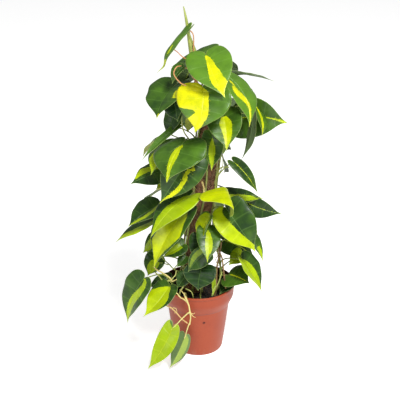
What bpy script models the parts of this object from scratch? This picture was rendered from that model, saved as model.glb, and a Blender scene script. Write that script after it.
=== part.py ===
"""A variegated heart-leaf philodendron climbing a coir pole in a plastic nursery pot.

Blender works in metres with +Z up. Every size below is in millimetres and is turned
into metres where a mesh is made. The origin is the centre of the pot's flat base and
the photograph's view looks along +Y.
"""

import math
from collections import namedtuple

import bpy
import numpy as np

MM = 0.001

# Pot: a 12 cm nursery pot with a flared collar
POT_SIDES = 32
POT_WALL = 1.6
POT_FLOOR = 2.0
POT_OUTSIDE = (  # radius and height from the foot up to the lip
    (39.4, 0.0), (40.6, 2.5), (41.6, 9.0), (50.9, 82.6), (51.9, 84.0), (53.6, 88.0),
    (56.7, 94.5), (58.6, 100.5), (59.4, 113.4), (60.0, 114.4), (60.0, 117.4), (59.5, 118.2),
)
POT_HEIGHT = POT_OUTSIDE[-1][1]
POT_INSIDE_AT = (9.0, 82.6, 88.0, 100.5)
POT_FLOOR_RADIUS = 39.2
DRAIN_HOLES, DRAIN_RADIUS, DRAIN_CIRCLE = 6, 4.0, 27.0
DRAIN_SIDES, DRAIN_BELOW, DRAIN_ABOVE = 8, -3.0, 6.0
POT_COLOUR, POT_ROUGHNESS = (0.53, 0.115, 0.062), 0.42
POT_CREASE = math.radians(50)

# Soil: fills the pot to a little under the lip
GAP = 0.35
SOIL_CLEAR = 0.65
SOIL_TOP = 105.5
SOIL_FOOT_RADIUS = 38.6
SOIL_RINGS, SOIL_SIDES = 4, 24
SOIL_LUMPS = 1.6
SOIL_WAVES, SOIL_WAVE_SHIFTS = (0.21, 0.17), (1.3, -0.6)
SOIL_RIPPLES, SOIL_RIPPLE_SHARE = (0.53, -0.41), 0.5
SOIL_COLOUR, SOIL_ROUGHNESS = (0.014, 0.010, 0.008), 0.95
HOLE_SLACK = 0.5
HOLE_OVERSHOOT = 15.0
HOLE_SIDES = 8

# Pole: a wooden stake in a coir sleeve, leaning to the right
POLE_FOOT, POLE_TOP = 26.0, 466.0
POLE_LEAN = math.radians(6.1)
POLE_AT_SOIL = -10.4
COIR_RADIUS = 18.0
COIR_RIBS, COIR_RIPPLE, COIR_TWIST = 7, 0.5, 0.9
COIR_SIDES, COIR_RINGS = 24, 8
COIR_COLOUR, COIR_ROUGHNESS = (0.085, 0.042, 0.022), 0.9
STAKE_RADIUS = 7.5
STAKE_PROUD = 3.0
STAKE_SIDES = 16
STAKE_COLOUR, STAKE_ROUGHNESS = (0.35, 0.22, 0.12), 0.7

# Stems, petioles and aerial roots
STEM_RADIUS, STEM_TAPER = 2.1, 0.72
STEM_SIDES, PETIOLE_SIDES, ROOT_SIDES = 5, 3, 3
STEM_CLEAR = 0.9
STEM_DEPTH = 34.0
PETIOLE_STEPS = 4
PETIOLE_RADII = (1.45, 1.0)
PETIOLE_PULL = 0.37  # how long a petiole keeps its first and last direction, as a share of its span
PETIOLE_LEAVES = (0.45, 0.9)  # outward and up, where it leaves the stem
PETIOLE_ARRIVES = (0.35, 0.75)  # along and up from the blade that it meets
PETIOLE_SEAT, PETIOLE_SINK = 0.03, 0.25  # where it meets the midrib, as a share, and how far below it
ROOT_RADII = (1.3, 1.0, 0.9, 0.6)

# Leaf blades
BLADE_COLUMNS = 2
BLADE_STOPS = (0, 2.4, 4.2, 6.5, 9.3, 12.3, 16)  # where the rows lie along the outline's points
BLADE_THICKNESS = 0.8
VEIN_SLANT = 0.5  # how straight a side vein runs from the midrib to the edge
FOLD_SOFT = 0.1  # how round the V fold is, and the next two, as shares of half the width
EDGE_DROP = 0.10
EDGE_WAVE = 0.055
WAVE_TURNS, WAVE_SHIFT = 7.0, 1.6
LEAF_COLOUR, LEAF_ROUGHNESS = (0.09, 0.26, 0.04), 0.35
HALF_OUTLINE = (  # share of the width, share of the length, where that vein leaves the midrib
    (0.000, 0.000, 0.000), (0.012, -0.060, 0.006), (0.060, -0.118, 0.014), (0.165, -0.150, 0.025),
    (0.290, -0.132, 0.040), (0.400, -0.060, 0.065), (0.470, 0.050, 0.110), (0.500, 0.180, 0.180),
    (0.494, 0.310, 0.275), (0.455, 0.440, 0.390), (0.385, 0.560, 0.510), (0.285, 0.670, 0.625),
    (0.175, 0.765, 0.735), (0.085, 0.850, 0.830), (0.036, 0.915, 0.905), (0.013, 0.965, 0.960),
    (0.000, 1.000, 1.000),
)

# A leaf: the height where its petiole leaves the stem, then its own base and tip, its width,
# the azimuth and elevation that its upper side faces, its V fold, its droop from base to tip,
# how far its midrib bows sideways, how much more one half folds than the other and how long
# its lobes are. Azimuth 0 is the front, 90 the right and 180 the back.
Leaf = namedtuple("Leaf", "node base tip width face fold droop bow lean lobe", defaults=(9, 0, 1.0))

# A climbing stem: its height and azimuth round the pole, from the soil to its last leaf
CLIMBERS = {
    "vine_front": ((105, 4), (190, -14), (290, 6), (380, -8), (458, 2)),
    "vine_front_right": ((105, 50), (180, 42), (270, 58), (360, 44), (452, 52)),
    "vine_right": ((228, 92), (300, 106), (380, 94), (448, 98)),
    "vine_left": ((105, -104), (190, -96), (280, -110), (370, -98), (456, -104)),
    "vine_front_left": ((105, -52), (180, -60), (270, -46), (370, -58), (458, -50)),
    "vine_back_left": ((105, -156), (200, -148), (300, -160), (380, -150), (452, -154)),
    "vine_back_right": ((105, 152), (190, 144), (280, 158), (370, 148), (450, 152)),
}
# A stem's free start below the pole, its free end above it, or a whole route that doesn't climb
FREE_START = {
    "vine_right": ((28, -16, 105), (35, -13, 128), (36, -12, 152), (30, -8, 186)),
}
FREE_END = {
    "vine_front_left": ((-3, -14, 484), (-5, -6, 500), (-10, -2, 524)),
}
SHOOTS = {
    "shoot_left": ((-34, -25, 105), (-37, -27, 118), (-44, -28, 132), (-54, -28, 146)),
    "shoot_front": ((4, -38, 105), (4, -36, 118), (7, -30, 132), (12, -25, 144)),
    "vine_trailing": (
        (-18, -36, 105), (-20, -42, 117), (-22, -54, 125), (-20, -64, 123), (-15, -67.5, 112),
        (-13, -67, 98), (-12, -63, 86), (-14, -61, 72),
    ),
}

LEAVES = {
    "vine_front": (
        Leaf(446, (12, -28, 509), (39, -88, 463), 70, (4, 22), 14, 30, -8, 8, 0.9),
        Leaf(430, (7, -56, 469), (-5, -92, 411), 86, (-8, 30), 2, 35, 20, -14, 0.7),
        Leaf(404, (37, -42, 423), (42, -80, 379), 58, (0, 12), 24, 20, 10, -6),
        Leaf(350, (-22, -44, 378), (-46, -90, 332), 88, (-28, 14), 0, 30, -11, -3, 1.4),
        Leaf(322, (-9, -50, 358), (-58, -72, 290), 64, (12, 8), 26, 25, -6, 10, 1.3),
        Leaf(282, (43, -42, 303), (53, -96, 291), 88, (38, 26), -42, 25, -13, 2, 0.9),
        Leaf(228, (17, -46, 255), (4, -50, 212), 36, (-54, 22), 26, 20, -15, -5, 1.1),
        Leaf(208, (15, -46, 235), (14, -84, 196), 38, (3, 16), 8, 25, 8),
        Leaf(150, (14, -54, 199), (-16, -56, 165), 34, (-2, 36), 24, 30, -10, 8, 0.6),
        Leaf(178, (2, -34, 216), (-4, -48, 180), 34, (-8, 26), 14, 22),
    ),
    "vine_front_right": (
        Leaf(438, (45, -28, 476), (75, -70, 412), 60, (38, 12), 2, 25, 28, 14),
        Leaf(362, (21, -35, 387), (20, -53, 336), 34, (-8, 8), 15, 18),
        Leaf(392, (82, -24, 415), (66, -36, 347), 32, (112, 4), 10, 20, -9, -3),
        Leaf(304, (56, -24, 338), (92, -46, 295), 24, (6, 30), 30, 25, 10, -3),
        Leaf(212, (36, -22, 248), (56, -34, 204), 34, (20, 18), 14, 22, -9),
        Leaf(346, (44, -25, 402), (46, -33, 366), 26, (14, 14), 14, 22),
        Leaf(250, (43, -34, 266), (90, -56, 200), 68, (22, 30), 22, 30, -4, -12, 0.6),
    ),
    "vine_right": (
        Leaf(446, (49, 13, 470), (116, 20, 454), 38, (182, 64), 4, 25, 13, -3),
        Leaf(408, (87, 6, 420), (97, -22, 379), 38, (62, 14), 14, 30, 14),
        Leaf(376, (63, 16, 395), (138, 0, 393), 68, (0, 14), 20, 20, 18, -5),
        Leaf(318, (36, 24, 334), (42, 44, 292), 44, (96, 18), 12, 24, -9),
        Leaf(262, (44, -8, 277), (104, 4, 265), 32, (6, 60), 10, 22, -6, 4),
        Leaf(236, (73, 5, 260), (134, -2, 241), 36, (-16, 18), 18, 20, -8, -8),
        Leaf(220, (65, -6, 246), (88, -18, 197), 40, (50, 14), 14, 22),
        Leaf(184, (80, 2, 206), (105, -16, 161), 30, (60, 18), 14, 20),
        Leaf(160, (42, 18, 184), (93, 20, 152), 44, (10, 40), 12, 24),
        Leaf(158, (71, -32, 175), (102, -44, 123), 48, (58, 28), 22, 25, -4, 6),
        Leaf(134, (51, -23, 143), (82, -50, 141), 50, (-3, 57), 4, 20, 5, 4, 0.8),
        Leaf(146, (70, -8, 174), (48, -28, 162), 28, (-10, 46), 16, 20),
        Leaf(112, (52, -18, 130), (34, -38, 114), 26, (-30, 50), 10, 16),
    ),
    "vine_left": (
        Leaf(440, (-35, -11, 457), (-61, -50, 418), 80, (-53, 12), 13, 30, -11, 15, 1.3),
        Leaf(420, (-36, -26, 440), (-30, -48, 413), 42, (-32, 14), 6, 25, 9, -5),
        Leaf(396, (-34, -6, 415), (-49, -12, 377), 34, (-40, 16), 14, 22),
        Leaf(366, (-31, -16, 393), (-87, -40, 346), 17, (-48, 28), 24, 25, 2, 2),
        Leaf(340, (-33, -12, 364), (-71, -60, 332), 64, (-50, 16), 18, 25, -10, -4),
        Leaf(290, (-55, -4, 316), (-105, -24, 302), 52, (-30, 56), 4, 24, 3, -2, 1.1),
        Leaf(276, (-46, -8, 304), (-66, -16, 290), 24, (-40, 40), 18, 20),
        Leaf(238, (-64, -6, 258), (-110, -36, 234), 54, (-48, 38), 14, 26, 3, -2),
        Leaf(204, (-75, -6, 230), (-132, -20, 199), 33, (-8, 88), 5, 22, 0),
        Leaf(168, (-62, 10, 196), (-90, 0, 170), 32, (-30, 30), 14, 20),
        Leaf(212, (-36, -18, 246), (-54, -32, 206), 40, (-24, 18), 14, 22, -9),
    ),
    "vine_front_left": (
        Leaf(498, (-14, -14, 543), (-61, -28, 482), 31, (-66, 18), 14, 25, 28, -12),
        Leaf(484, (23, -2, 511), (-40, -12, 486), 34, (-20, 76), 4, 20, 8, -4),
        Leaf(470, (-22, -26, 490), (-38, -38, 468), 26, (-50, 20), 30, 30, -9),
        Leaf(262, (-14, -42, 290), (-72, -90, 242), 62, (-44, 30), 8, 26, -9, -8),
        Leaf(242, (-20, -44, 265), (-69, -76, 182), 68, (-38, 38), 22, 30, -4, -4),
        Leaf(158, (-66, -20, 173), (-81, -38, 148), 38, (-24, 24), 18, 24),
        Leaf(176, (-24, -34, 202), (-56, -46, 186), 32, (-16, 50), 14, 20),
        Leaf(150, (-20, -34, 180), (-34, -42, 166), 20, (-24, 40), 20, 20),
    ),
    "vine_back_left": (
        Leaf(444, (-10, 30, 475), (-28, 56, 427), 50, (-164, 30), 12, 28, -8),
        Leaf(418, (-30, 34, 446), (-68, 60, 400), 64, (-128, 28), 12, 30, 12),
        Leaf(372, (-12, 50, 404), (-18, 86, 346), 70, (186, 26), 8, 28, -14),
        Leaf(336, (-44, 28, 366), (-90, 46, 318), 48, (-118, 30), 16, 26),
        Leaf(290, (-22, 48, 320), (-42, 84, 262), 66, (-162, 24), 10, 30, 14),
        Leaf(244, (-52, 32, 272), (-94, 54, 228), 44, (-116, 32), 18, 26, -10),
        Leaf(198, (-30, 46, 226), (-54, 78, 174), 60, (-150, 26), 10, 28, -6),
        Leaf(152, (-50, 28, 180), (-86, 50, 138), 42, (-128, 30), 14, 26, 12),
    ),
    "vine_back_right": (
        Leaf(440, (32, 36, 478), (50, 76, 432), 46, (164, 32), 14, 28, -9),
        Leaf(408, (58, 28, 450), (86, 52, 414), 50, (124, 30), 12, 28, 10),
        Leaf(380, (34, 48, 416), (50, 88, 362), 66, (160, 26), 10, 28, -12),
        Leaf(334, (38, 34, 368), (46, 62, 322), 50, (98, 16), 12, 26),
        Leaf(308, (22, 46, 342), (30, 82, 290), 48, (172, 26), 12, 30, 10),
        Leaf(252, (48, 36, 268), (78, 60, 222), 56, (140, 28), 10, 28, -14),
        Leaf(224, (22, 50, 256), (32, 90, 200), 64, (172, 24), 10, 28, 8),
        Leaf(184, (58, 32, 214), (98, 54, 168), 50, (128, 30), 14, 26, -9),
    ),
    "shoot_left": (
        Leaf(138, (-87, -52, 150), (-114, -52, 69), 55, (-52, 22), 14, 25, -12, 5, 0.8),
        Leaf(128, (-46, -56, 140), (-86, -92, 105), 50, (-30, 37), 16, 25, 18, -12, 0.6),
        Leaf(134, (-46, -20, 133), (-82, -26, 122), 28, (-20, 52), 14, 20),
    ),
    "shoot_front": (
        Leaf(132, (6, -42, 167), (0, -56, 131), 58, (20, 54), 28, 22, -12, -8, 0.8),
        Leaf(124, (-20, -38, 150), (-34, -46, 131), 26, (-24, 36), 16, 20),
        Leaf(126, (24, -44, 146), (23, -52, 118), 14, (10, 16), 16, 16),
    ),
    "vine_trailing": (
        Leaf(98, (-42, -70, 69), (-82, -90, 6), 34, (-13, 25), 12, 25, 12),
        Leaf(74, (-22, -62, 48), (-46, -96, 12), 32, (160, 20), 34, 20, -10),
    ),
}

# The rolled new leaf at the very top: places and radii
NEW_LEAF = (
    (-4, -8, 490, 2.6), (-7, -4, 504, 5.8), (-11, -2, 520, 4.2), (-14, 0, 533, 2.6),
    (-17, 0, 553, 2.1), (-21, 0, 574, 0.8),
)
# Aerial roots: each runs from its stem round the pole, by height and azimuth
ROOTS = {
    "vine_front": (((300, 4), (292, 18), (282, 26)), ((236, -6), (228, -22), (216, -28))),
    "vine_front_right": (((330, 50), (318, 34), (300, 28)), ((206, 44), (196, 32), (182, 28))),
    "vine_left": (((320, -104), (310, -88), (296, -80)),),
    "vine_back_left": (((340, -156), (332, -172), (320, -180)), ((232, -150), (224, -132), (212, -126))),
    "vine_back_right": (((316, 152), (306, 168), (292, 172)), ((240, 150), (232, 132), (220, 126))),
}


def clear_scene():
    for thing in list(bpy.data.objects):
        bpy.data.objects.remove(thing)


def material(name, colour, roughness):
    made = bpy.data.materials.new(name)
    made.use_nodes = True
    shader = made.node_tree.nodes["Principled BSDF"]
    shader.inputs["Base Color"].default_value = (*colour, 1)
    shader.inputs["Roughness"].default_value = roughness
    shader.inputs["Metallic"].default_value = 0
    return made


def add_object(name, points, faces, finish=None):
    """A mesh object from points in millimetres."""
    mesh = bpy.data.meshes.new(name)
    mesh.from_pydata([tuple(MM * float(v) for v in p) for p in points], [], faces)
    mesh.validate()
    thing = bpy.data.objects.new(name, mesh)
    bpy.context.scene.collection.objects.link(thing)
    if finish:
        mesh.materials.append(finish)
    mesh.shade_smooth()
    return thing


def settle(thing):
    """Applies the object's modifiers to its mesh."""
    graph = bpy.context.evaluated_depsgraph_get()
    done = bpy.data.meshes.new_from_object(thing.evaluated_get(graph))
    thing.modifiers.clear()
    thing.data = done


def boolean(thing, others, operation):
    """Joins the other objects to this one, or cuts them from it, and removes them."""
    tools = bpy.data.collections.new("tools")
    for other in others:
        tools.objects.link(other)
    step = thing.modifiers.new(operation.title(), "BOOLEAN")
    step.operation = operation
    step.operand_type = "COLLECTION"
    step.collection = tools
    step.solver = "EXACT"
    settle(thing)
    for other in others:
        bpy.data.objects.remove(other)
    bpy.data.collections.remove(tools)


def turned(profile, sides):
    """Points and faces of a profile turned about Z. It starts and ends on the axis."""
    points = []
    rings = []
    for radius, height in profile:
        if radius == 0:
            rings.append([len(points)] * sides)
            points.append((0, 0, height))
            continue
        rings.append(list(range(len(points), len(points) + sides)))
        for k in range(sides):
            turn = 2 * math.pi * k / sides
            points.append((radius * math.cos(turn), radius * math.sin(turn), height))
    faces = []
    for low, high in zip(rings, rings[1:]):
        for k in range(sides):
            after = (k + 1) % sides
            corners = [low[k], low[after], high[after], high[k]]
            faces.append(list(dict.fromkeys(corners)))
    return points, faces


def curve_at(controls, stops):
    """Points of a smooth curve through the controls, at these stops counted in controls."""
    controls = np.array(controls, float)
    ends = np.vstack([2 * controls[0] - controls[1], controls, 2 * controls[-1] - controls[-2]])
    found = []
    for stop in stops:
        k = min(int(stop), len(controls) - 2)
        u = stop - k
        a, b, c, d = ends[k : k + 4]
        bend, turn = 2 * a - 5 * b + 4 * c - d, 3 * b - a - 3 * c + d
        found.append(0.5 * (2 * b + (c - a) * u + bend * u**2 + turn * u**3))
    return np.array(found)


def curve_points(controls, count):
    """Points at even steps of a smooth curve through the controls."""
    return curve_at(controls, np.linspace(0, len(controls) - 1, count))


def tube(name, route, radii, sides):
    """A closed tube along the route, with a radius at each point."""
    route = np.array(route, float)
    along = np.gradient(route, axis=0)
    along /= np.linalg.norm(along, axis=1)[:, None]
    side = np.cross(along[0], (0.31, 0.91, 0.27))
    points = []
    for place, way, radius in zip(route, along, radii):
        side = side - way * (side @ way)
        side /= np.linalg.norm(side)
        across = np.cross(way, side)
        for k in range(sides):
            turn = 2 * math.pi * k / sides
            points.append(place + radius * (math.cos(turn) * side + math.sin(turn) * across))
    faces = [list(range(sides))[::-1]]
    for ring in range(len(route) - 1):
        for k in range(sides):
            after = (k + 1) % sides
            a, b = ring * sides + k, ring * sides + after
            faces.append([a, b, b + sides, a + sides])
    last = (len(route) - 1) * sides
    faces.append(list(range(last, last + sides)))
    return add_object(name, points, faces)


def direction(azimuth, elevation=0.0):
    turn, rise = math.radians(azimuth), math.radians(elevation)
    flat = math.cos(rise)
    return np.array([math.sin(turn) * flat, -math.cos(turn) * flat, math.sin(rise)])


def pole_axis(height):
    return np.array([POLE_AT_SOIL + (height - SOIL_TOP) * math.tan(POLE_LEAN), 0.0, height])


def beside_pole(height, azimuth, radius):
    """A place that touches the pole's bark from outside, for a strand of this radius."""
    return pole_axis(height) + (COIR_RADIUS + COIR_RIPPLE + STEM_CLEAR + radius) * direction(azimuth)


def blade_frame(leaf):
    """The blade's length along its curve and the world axes across, along and up from it."""
    chord = np.subtract(leaf.tip, leaf.base).astype(float)
    reach = np.linalg.norm(chord)
    half = math.radians(leaf.droop) / 2
    length = reach * half / math.sin(half)
    along = chord / reach
    up = direction(*leaf.face)
    up = up - along * (up @ along)
    up /= np.linalg.norm(up)
    return length, np.array([np.cross(along, up), along, up])


def blade_place(leaf, length, axes, across, forward):
    """The place on the middle surface at this far across and forward on the flat leaf."""
    half_width = leaf.width / 2
    droop = math.radians(leaf.droop)
    bend = droop * forward / length
    fold = math.radians(leaf.fold + leaf.lean * np.sign(across))
    soft = FOLD_SOFT * half_width
    out = across / half_width
    share = forward / length
    wave = math.sin(WAVE_TURNS * share + leaf.node + WAVE_SHIFT * np.sign(across))
    rise = (math.hypot(across, soft) - soft) * math.sin(fold)
    rise += half_width * (EDGE_WAVE * out**2 * wave - EDGE_DROP * out**4)
    side = across * math.cos(fold) + length * math.tan(math.radians(leaf.bow)) * (share**2 - share)
    radius = length / droop
    y = radius * math.sin(bend) + rise * math.sin(bend)
    z = -radius * (1 - math.cos(bend)) + rise * math.cos(bend)
    half = droop / 2
    y, z = y * math.cos(half) - z * math.sin(half), y * math.sin(half) + z * math.cos(half)
    return np.array(leaf.base) + np.array([side, y, z]) @ axes


def blade(name, leaf):
    """One closed heart-shaped blade."""
    length, axes = blade_frame(leaf)
    outline = curve_at(HALF_OUTLINE, BLADE_STOPS)
    rows = len(BLADE_STOPS) - 1
    spots = []
    index = {}

    def spot(row, column):
        key = (row, 0 if row in (0, rows) else column)
        if key not in index:
            x, y, foot = outline[row]
            y = y * leaf.lobe if y < 0 else y
            share = abs(column) / BLADE_COLUMNS
            side = math.copysign(share * x * leaf.width, column)
            reach = share * (VEIN_SLANT + (1 - VEIN_SLANT) * share)
            index[key] = len(spots)
            spots.append((side, length * (foot + (y - foot) * reach)))
        return index[key]

    cells = []
    for row in range(rows):
        for column in range(-BLADE_COLUMNS, BLADE_COLUMNS):
            a, b = spot(row, column), spot(row, column + 1)
            c, d = spot(row + 1, column + 1), spot(row + 1, column)
            split = ((a, b, c), (a, c, d)) if column < 0 else ((a, b, d), (b, c, d))
            cells += [t for t in split if len(set(t)) == 3]
    step = 0.01 * leaf.width
    upper, lower = [], []
    for across, forward in spots:
        here = blade_place(leaf, length, axes, across, forward)
        right = blade_place(leaf, length, axes, across + step, forward)
        left = blade_place(leaf, length, axes, across - step, forward)
        ahead = blade_place(leaf, length, axes, across, forward + step)
        normal = np.cross(right - left, ahead - here)
        normal *= BLADE_THICKNESS / 2 / np.linalg.norm(normal)
        upper.append(here + normal)
        lower.append(here - normal)
    count = len(spots)
    faces = [list(t) for t in cells] + [[k + count for k in reversed(t)] for t in cells]
    edges = {(t[k], t[(k + 1) % 3]) for t in cells for k in range(3)}
    for a, b in sorted(edges):
        if (b, a) not in edges:
            faces += [[b, a, a + count], [b, a + count, b + count]]
    return add_object(name, upper + lower, faces)


def petiole(name, stem_place, leaf):
    """A leaf stalk that rises from the stem and meets the blade from below."""
    length, axes = blade_frame(leaf)
    seat = blade_place(leaf, length, axes, 0, PETIOLE_SEAT * length) - PETIOLE_SINK * axes[2]
    span = np.linalg.norm(seat - stem_place)
    outward = seat - stem_place
    outward[2] = 0
    outward /= np.linalg.norm(outward) + 1e-9
    leave = PETIOLE_LEAVES[0] * outward + np.array([0, 0, PETIOLE_LEAVES[1]])
    first = stem_place + PETIOLE_PULL * span * leave
    arrive = PETIOLE_ARRIVES[0] * axes[1] + PETIOLE_ARRIVES[1] * axes[2]
    second = seat - PETIOLE_PULL * span * arrive / np.linalg.norm(arrive)
    route = [
        (1 - t) ** 3 * stem_place + 3 * t * (1 - t) ** 2 * first + 3 * t * t * (1 - t) * second
        + t**3 * seat
        for t in np.linspace(0, 1, PETIOLE_STEPS + 1)
    ]
    radii = np.linspace(*PETIOLE_RADII, PETIOLE_STEPS + 1)
    return tube(name, route, radii, PETIOLE_SIDES)


def stem_route(name):
    """The stem's places from its buried foot to its last leaf."""
    controls = [np.array(p, float) for p in SHOOTS.get(name, ()) + FREE_START.get(name, ())]
    controls += [beside_pole(height, turn, STEM_RADIUS) for height, turn in CLIMBERS.get(name, ())]
    controls += [np.array(p, float) for p in FREE_END.get(name, ())]
    if name in SHOOTS or name in FREE_START:
        foot = controls[0] - np.array([0, 0, STEM_DEPTH])
    else:
        foot = beside_pole(controls[0][2] - STEM_DEPTH, CLIMBERS[name][0][1], STEM_RADIUS)
    above = curve_points(controls, 3 * len(controls) - 2)
    return np.vstack([foot, above])


def build_plant(name, finish):
    """One leafy stem: its stem, petioles, blades and aerial roots, joined into one body."""
    route = stem_route(name)
    radii = np.linspace(STEM_RADIUS, STEM_TAPER * STEM_RADIUS, len(route))
    stem = tube(name, route, radii, STEM_SIDES)
    stem.data.materials.append(finish)
    pieces = []
    for number, leaf in enumerate(LEAVES[name]):
        start = route[1:][np.argmin(np.abs(route[1:, 2] - leaf.node))]
        pieces.append(petiole(f"{name}_petiole_{number}", start, leaf))
        pieces.append(blade(f"{name}_blade_{number}", leaf))
    if name == "vine_front_left":
        places = [p[:3] for p in NEW_LEAF]
        pieces.append(tube("new_leaf", places, [p[3] for p in NEW_LEAF], STEM_SIDES))
    for number, run in enumerate(ROOTS.get(name, ())):
        controls = [beside_pole(height, turn, ROOT_RADII[1]) for height, turn in run]
        start = route[1:][np.argmin(np.abs(route[1:, 2] - run[0][0]))]
        way = np.vstack([start, curve_points(controls[1:], 3)])
        pieces.append(tube(f"{name}_root_{number}", way, ROOT_RADII, ROOT_SIDES))
    boolean(stem, pieces, "UNION")
    return stem


def leaning_post(name, low, high, radius, sides):
    """A plain round post on the pole's axis, with level ends."""
    points = [
        pole_axis(height) + radius * direction(360 * k / sides)
        for height in (low, high)
        for k in range(sides)
    ]
    faces = [list(range(sides))[::-1], list(range(sides, 2 * sides))]
    for k in range(sides):
        after = (k + 1) % sides
        faces.append([k, after, after + sides, k + sides])
    return add_object(name, points, faces)


def build_pot():
    inside = [(radius - POT_WALL, height) for radius, height in POT_OUTSIDE]
    inside = [p for p in inside if p[1] in (*POT_INSIDE_AT, POT_HEIGHT)]
    floor = [(POT_FLOOR_RADIUS, POT_FLOOR), (0, POT_FLOOR)]
    profile = [(0, 0), *POT_OUTSIDE, *reversed(inside), *floor]
    finish = material("pot_plastic", POT_COLOUR, POT_ROUGHNESS)
    pot = add_object("pot", *turned(profile, POT_SIDES), finish)
    drills = []
    for k in range(DRAIN_HOLES):
        turn = 2 * math.pi * (k + 0.5) / DRAIN_HOLES
        x, y = DRAIN_CIRCLE * math.cos(turn), DRAIN_CIRCLE * math.sin(turn)
        ends = (DRAIN_BELOW, DRAIN_ABOVE)
        drill = [(0, ends[0]), *((DRAIN_RADIUS, height) for height in ends), (0, ends[1])]
        points, faces = turned(drill, DRAIN_SIDES)
        drills.append(add_object("drill", [(x + p[0], y + p[1], p[2]) for p in points], faces))
    boolean(pot, drills, "DIFFERENCE")
    pot.data.set_sharp_from_angle(angle=POT_CREASE)
    return pot


def pot_inside_radius(height):
    radii = [radius for radius, _ in POT_OUTSIDE]
    heights = [h for _, h in POT_OUTSIDE]
    return np.interp(height, heights, radii) - POT_WALL - SOIL_CLEAR


def build_soil():
    """A lumpy plug of soil, with plain holes for the pole and the stems."""
    profile = [(0, POT_FLOOR + GAP), (SOIL_FOOT_RADIUS, POT_FLOOR + GAP)]
    profile += [(pot_inside_radius(h), h) for h in POT_INSIDE_AT]
    edge = pot_inside_radius(SOIL_TOP - 1)
    profile += [(edge * (1 - k / SOIL_RINGS), SOIL_TOP) for k in range(SOIL_RINGS + 1)]
    points, faces = turned(profile, SOIL_SIDES)
    lumpy = []
    for x, y, z in points:
        if z == SOIL_TOP:
            long_wave = math.sin(SOIL_WAVES[0] * x + SOIL_WAVE_SHIFTS[0])
            cross_wave = math.cos(SOIL_WAVES[1] * y + SOIL_WAVE_SHIFTS[1])
            ripple = math.sin(SOIL_RIPPLES[0] * x + SOIL_RIPPLES[1] * y)
            z += SOIL_LUMPS * (long_wave * cross_wave + SOIL_RIPPLE_SHARE * ripple)
        lumpy.append((x, y, z))
    finish = material("soil", SOIL_COLOUR, SOIL_ROUGHNESS)
    soil = add_object("soil", lumpy, faces, finish)
    width = COIR_RADIUS + COIR_RIPPLE + HOLE_SLACK
    cutters = [leaning_post("pole_hole", POLE_FOOT - GAP, SOIL_TOP + HOLE_OVERSHOOT, width, COIR_SIDES)]
    for name in LEAVES:
        foot, ground = stem_route(name)[:2]
        way = (ground - foot) / np.linalg.norm(ground - foot)
        ends = [foot - GAP * way, ground + HOLE_OVERSHOOT * way]
        cutters.append(tube("stem_hole", ends, [STEM_RADIUS + HOLE_SLACK] * 2, HOLE_SIDES))
    boolean(soil, cutters, "DIFFERENCE")
    return soil


def build_pole():
    """The stake and its coir sleeve, both on the leaning axis."""
    bore = STAKE_RADIUS + GAP
    points, faces = [], []
    heights = np.linspace(POLE_FOOT, POLE_TOP, COIR_RINGS)
    for ring, height in enumerate(heights):
        for k in range(COIR_SIDES):
            turn = 2 * math.pi * k / COIR_SIDES
            swell = COIR_RIPPLE * math.sin(COIR_RIBS * turn + COIR_TWIST * ring)
            spot = pole_axis(height) + (COIR_RADIUS + swell) * direction(math.degrees(turn))
            points.append(spot)
    for end in (heights[-1], heights[0]):
        for k in range(COIR_SIDES):
            points.append(pole_axis(end) + bore * direction(360 * k / COIR_SIDES))
    order = list(range(COIR_RINGS + 2))
    for low, high in zip(order, order[1:] + order[:1]):
        for k in range(COIR_SIDES):
            after = (k + 1) % COIR_SIDES
            a, b = low * COIR_SIDES + k, low * COIR_SIDES + after
            c, d = high * COIR_SIDES + after, high * COIR_SIDES + k
            faces.append([a, b, c, d])
    coir = material("coir", COIR_COLOUR, COIR_ROUGHNESS)
    add_object("pole_coir", points, faces, coir)
    wood = material("stake_wood", STAKE_COLOUR, STAKE_ROUGHNESS)
    stake = leaning_post("pole_stake", POLE_FOOT, POLE_TOP + STAKE_PROUD, STAKE_RADIUS, STAKE_SIDES)
    stake.data.materials.append(wood)


def main():
    clear_scene()
    build_pot()
    build_soil()
    build_pole()
    finish = material("philodendron", LEAF_COLOUR, LEAF_ROUGHNESS)
    for name in LEAVES:
        build_plant(name, finish)


main()
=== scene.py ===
"""The looks of a variegated philodendron on a coir pole in a plastic nursery pot.

Sizes are in millimetres until a mesh is made. The origin is the centre of the pot's flat
base, the photograph's view looks along +Y, and azimuth 0 is the front and 90 the right.
"""

import math
from collections import namedtuple

import bpy
import numpy as np
from mathutils import Euler, Matrix, Vector

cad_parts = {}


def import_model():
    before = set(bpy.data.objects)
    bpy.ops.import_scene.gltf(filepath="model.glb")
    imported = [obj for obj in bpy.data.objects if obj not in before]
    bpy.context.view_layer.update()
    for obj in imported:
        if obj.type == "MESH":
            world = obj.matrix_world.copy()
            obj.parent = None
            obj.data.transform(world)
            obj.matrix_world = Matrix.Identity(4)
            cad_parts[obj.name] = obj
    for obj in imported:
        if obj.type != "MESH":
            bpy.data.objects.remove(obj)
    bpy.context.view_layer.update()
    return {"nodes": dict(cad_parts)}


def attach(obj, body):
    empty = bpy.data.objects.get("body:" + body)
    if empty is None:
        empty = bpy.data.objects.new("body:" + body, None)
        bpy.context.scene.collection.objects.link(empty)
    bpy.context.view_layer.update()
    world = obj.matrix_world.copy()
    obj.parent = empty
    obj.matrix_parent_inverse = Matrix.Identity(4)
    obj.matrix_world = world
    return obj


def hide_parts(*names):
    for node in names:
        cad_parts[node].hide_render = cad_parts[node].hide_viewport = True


MM = 0.001

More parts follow.
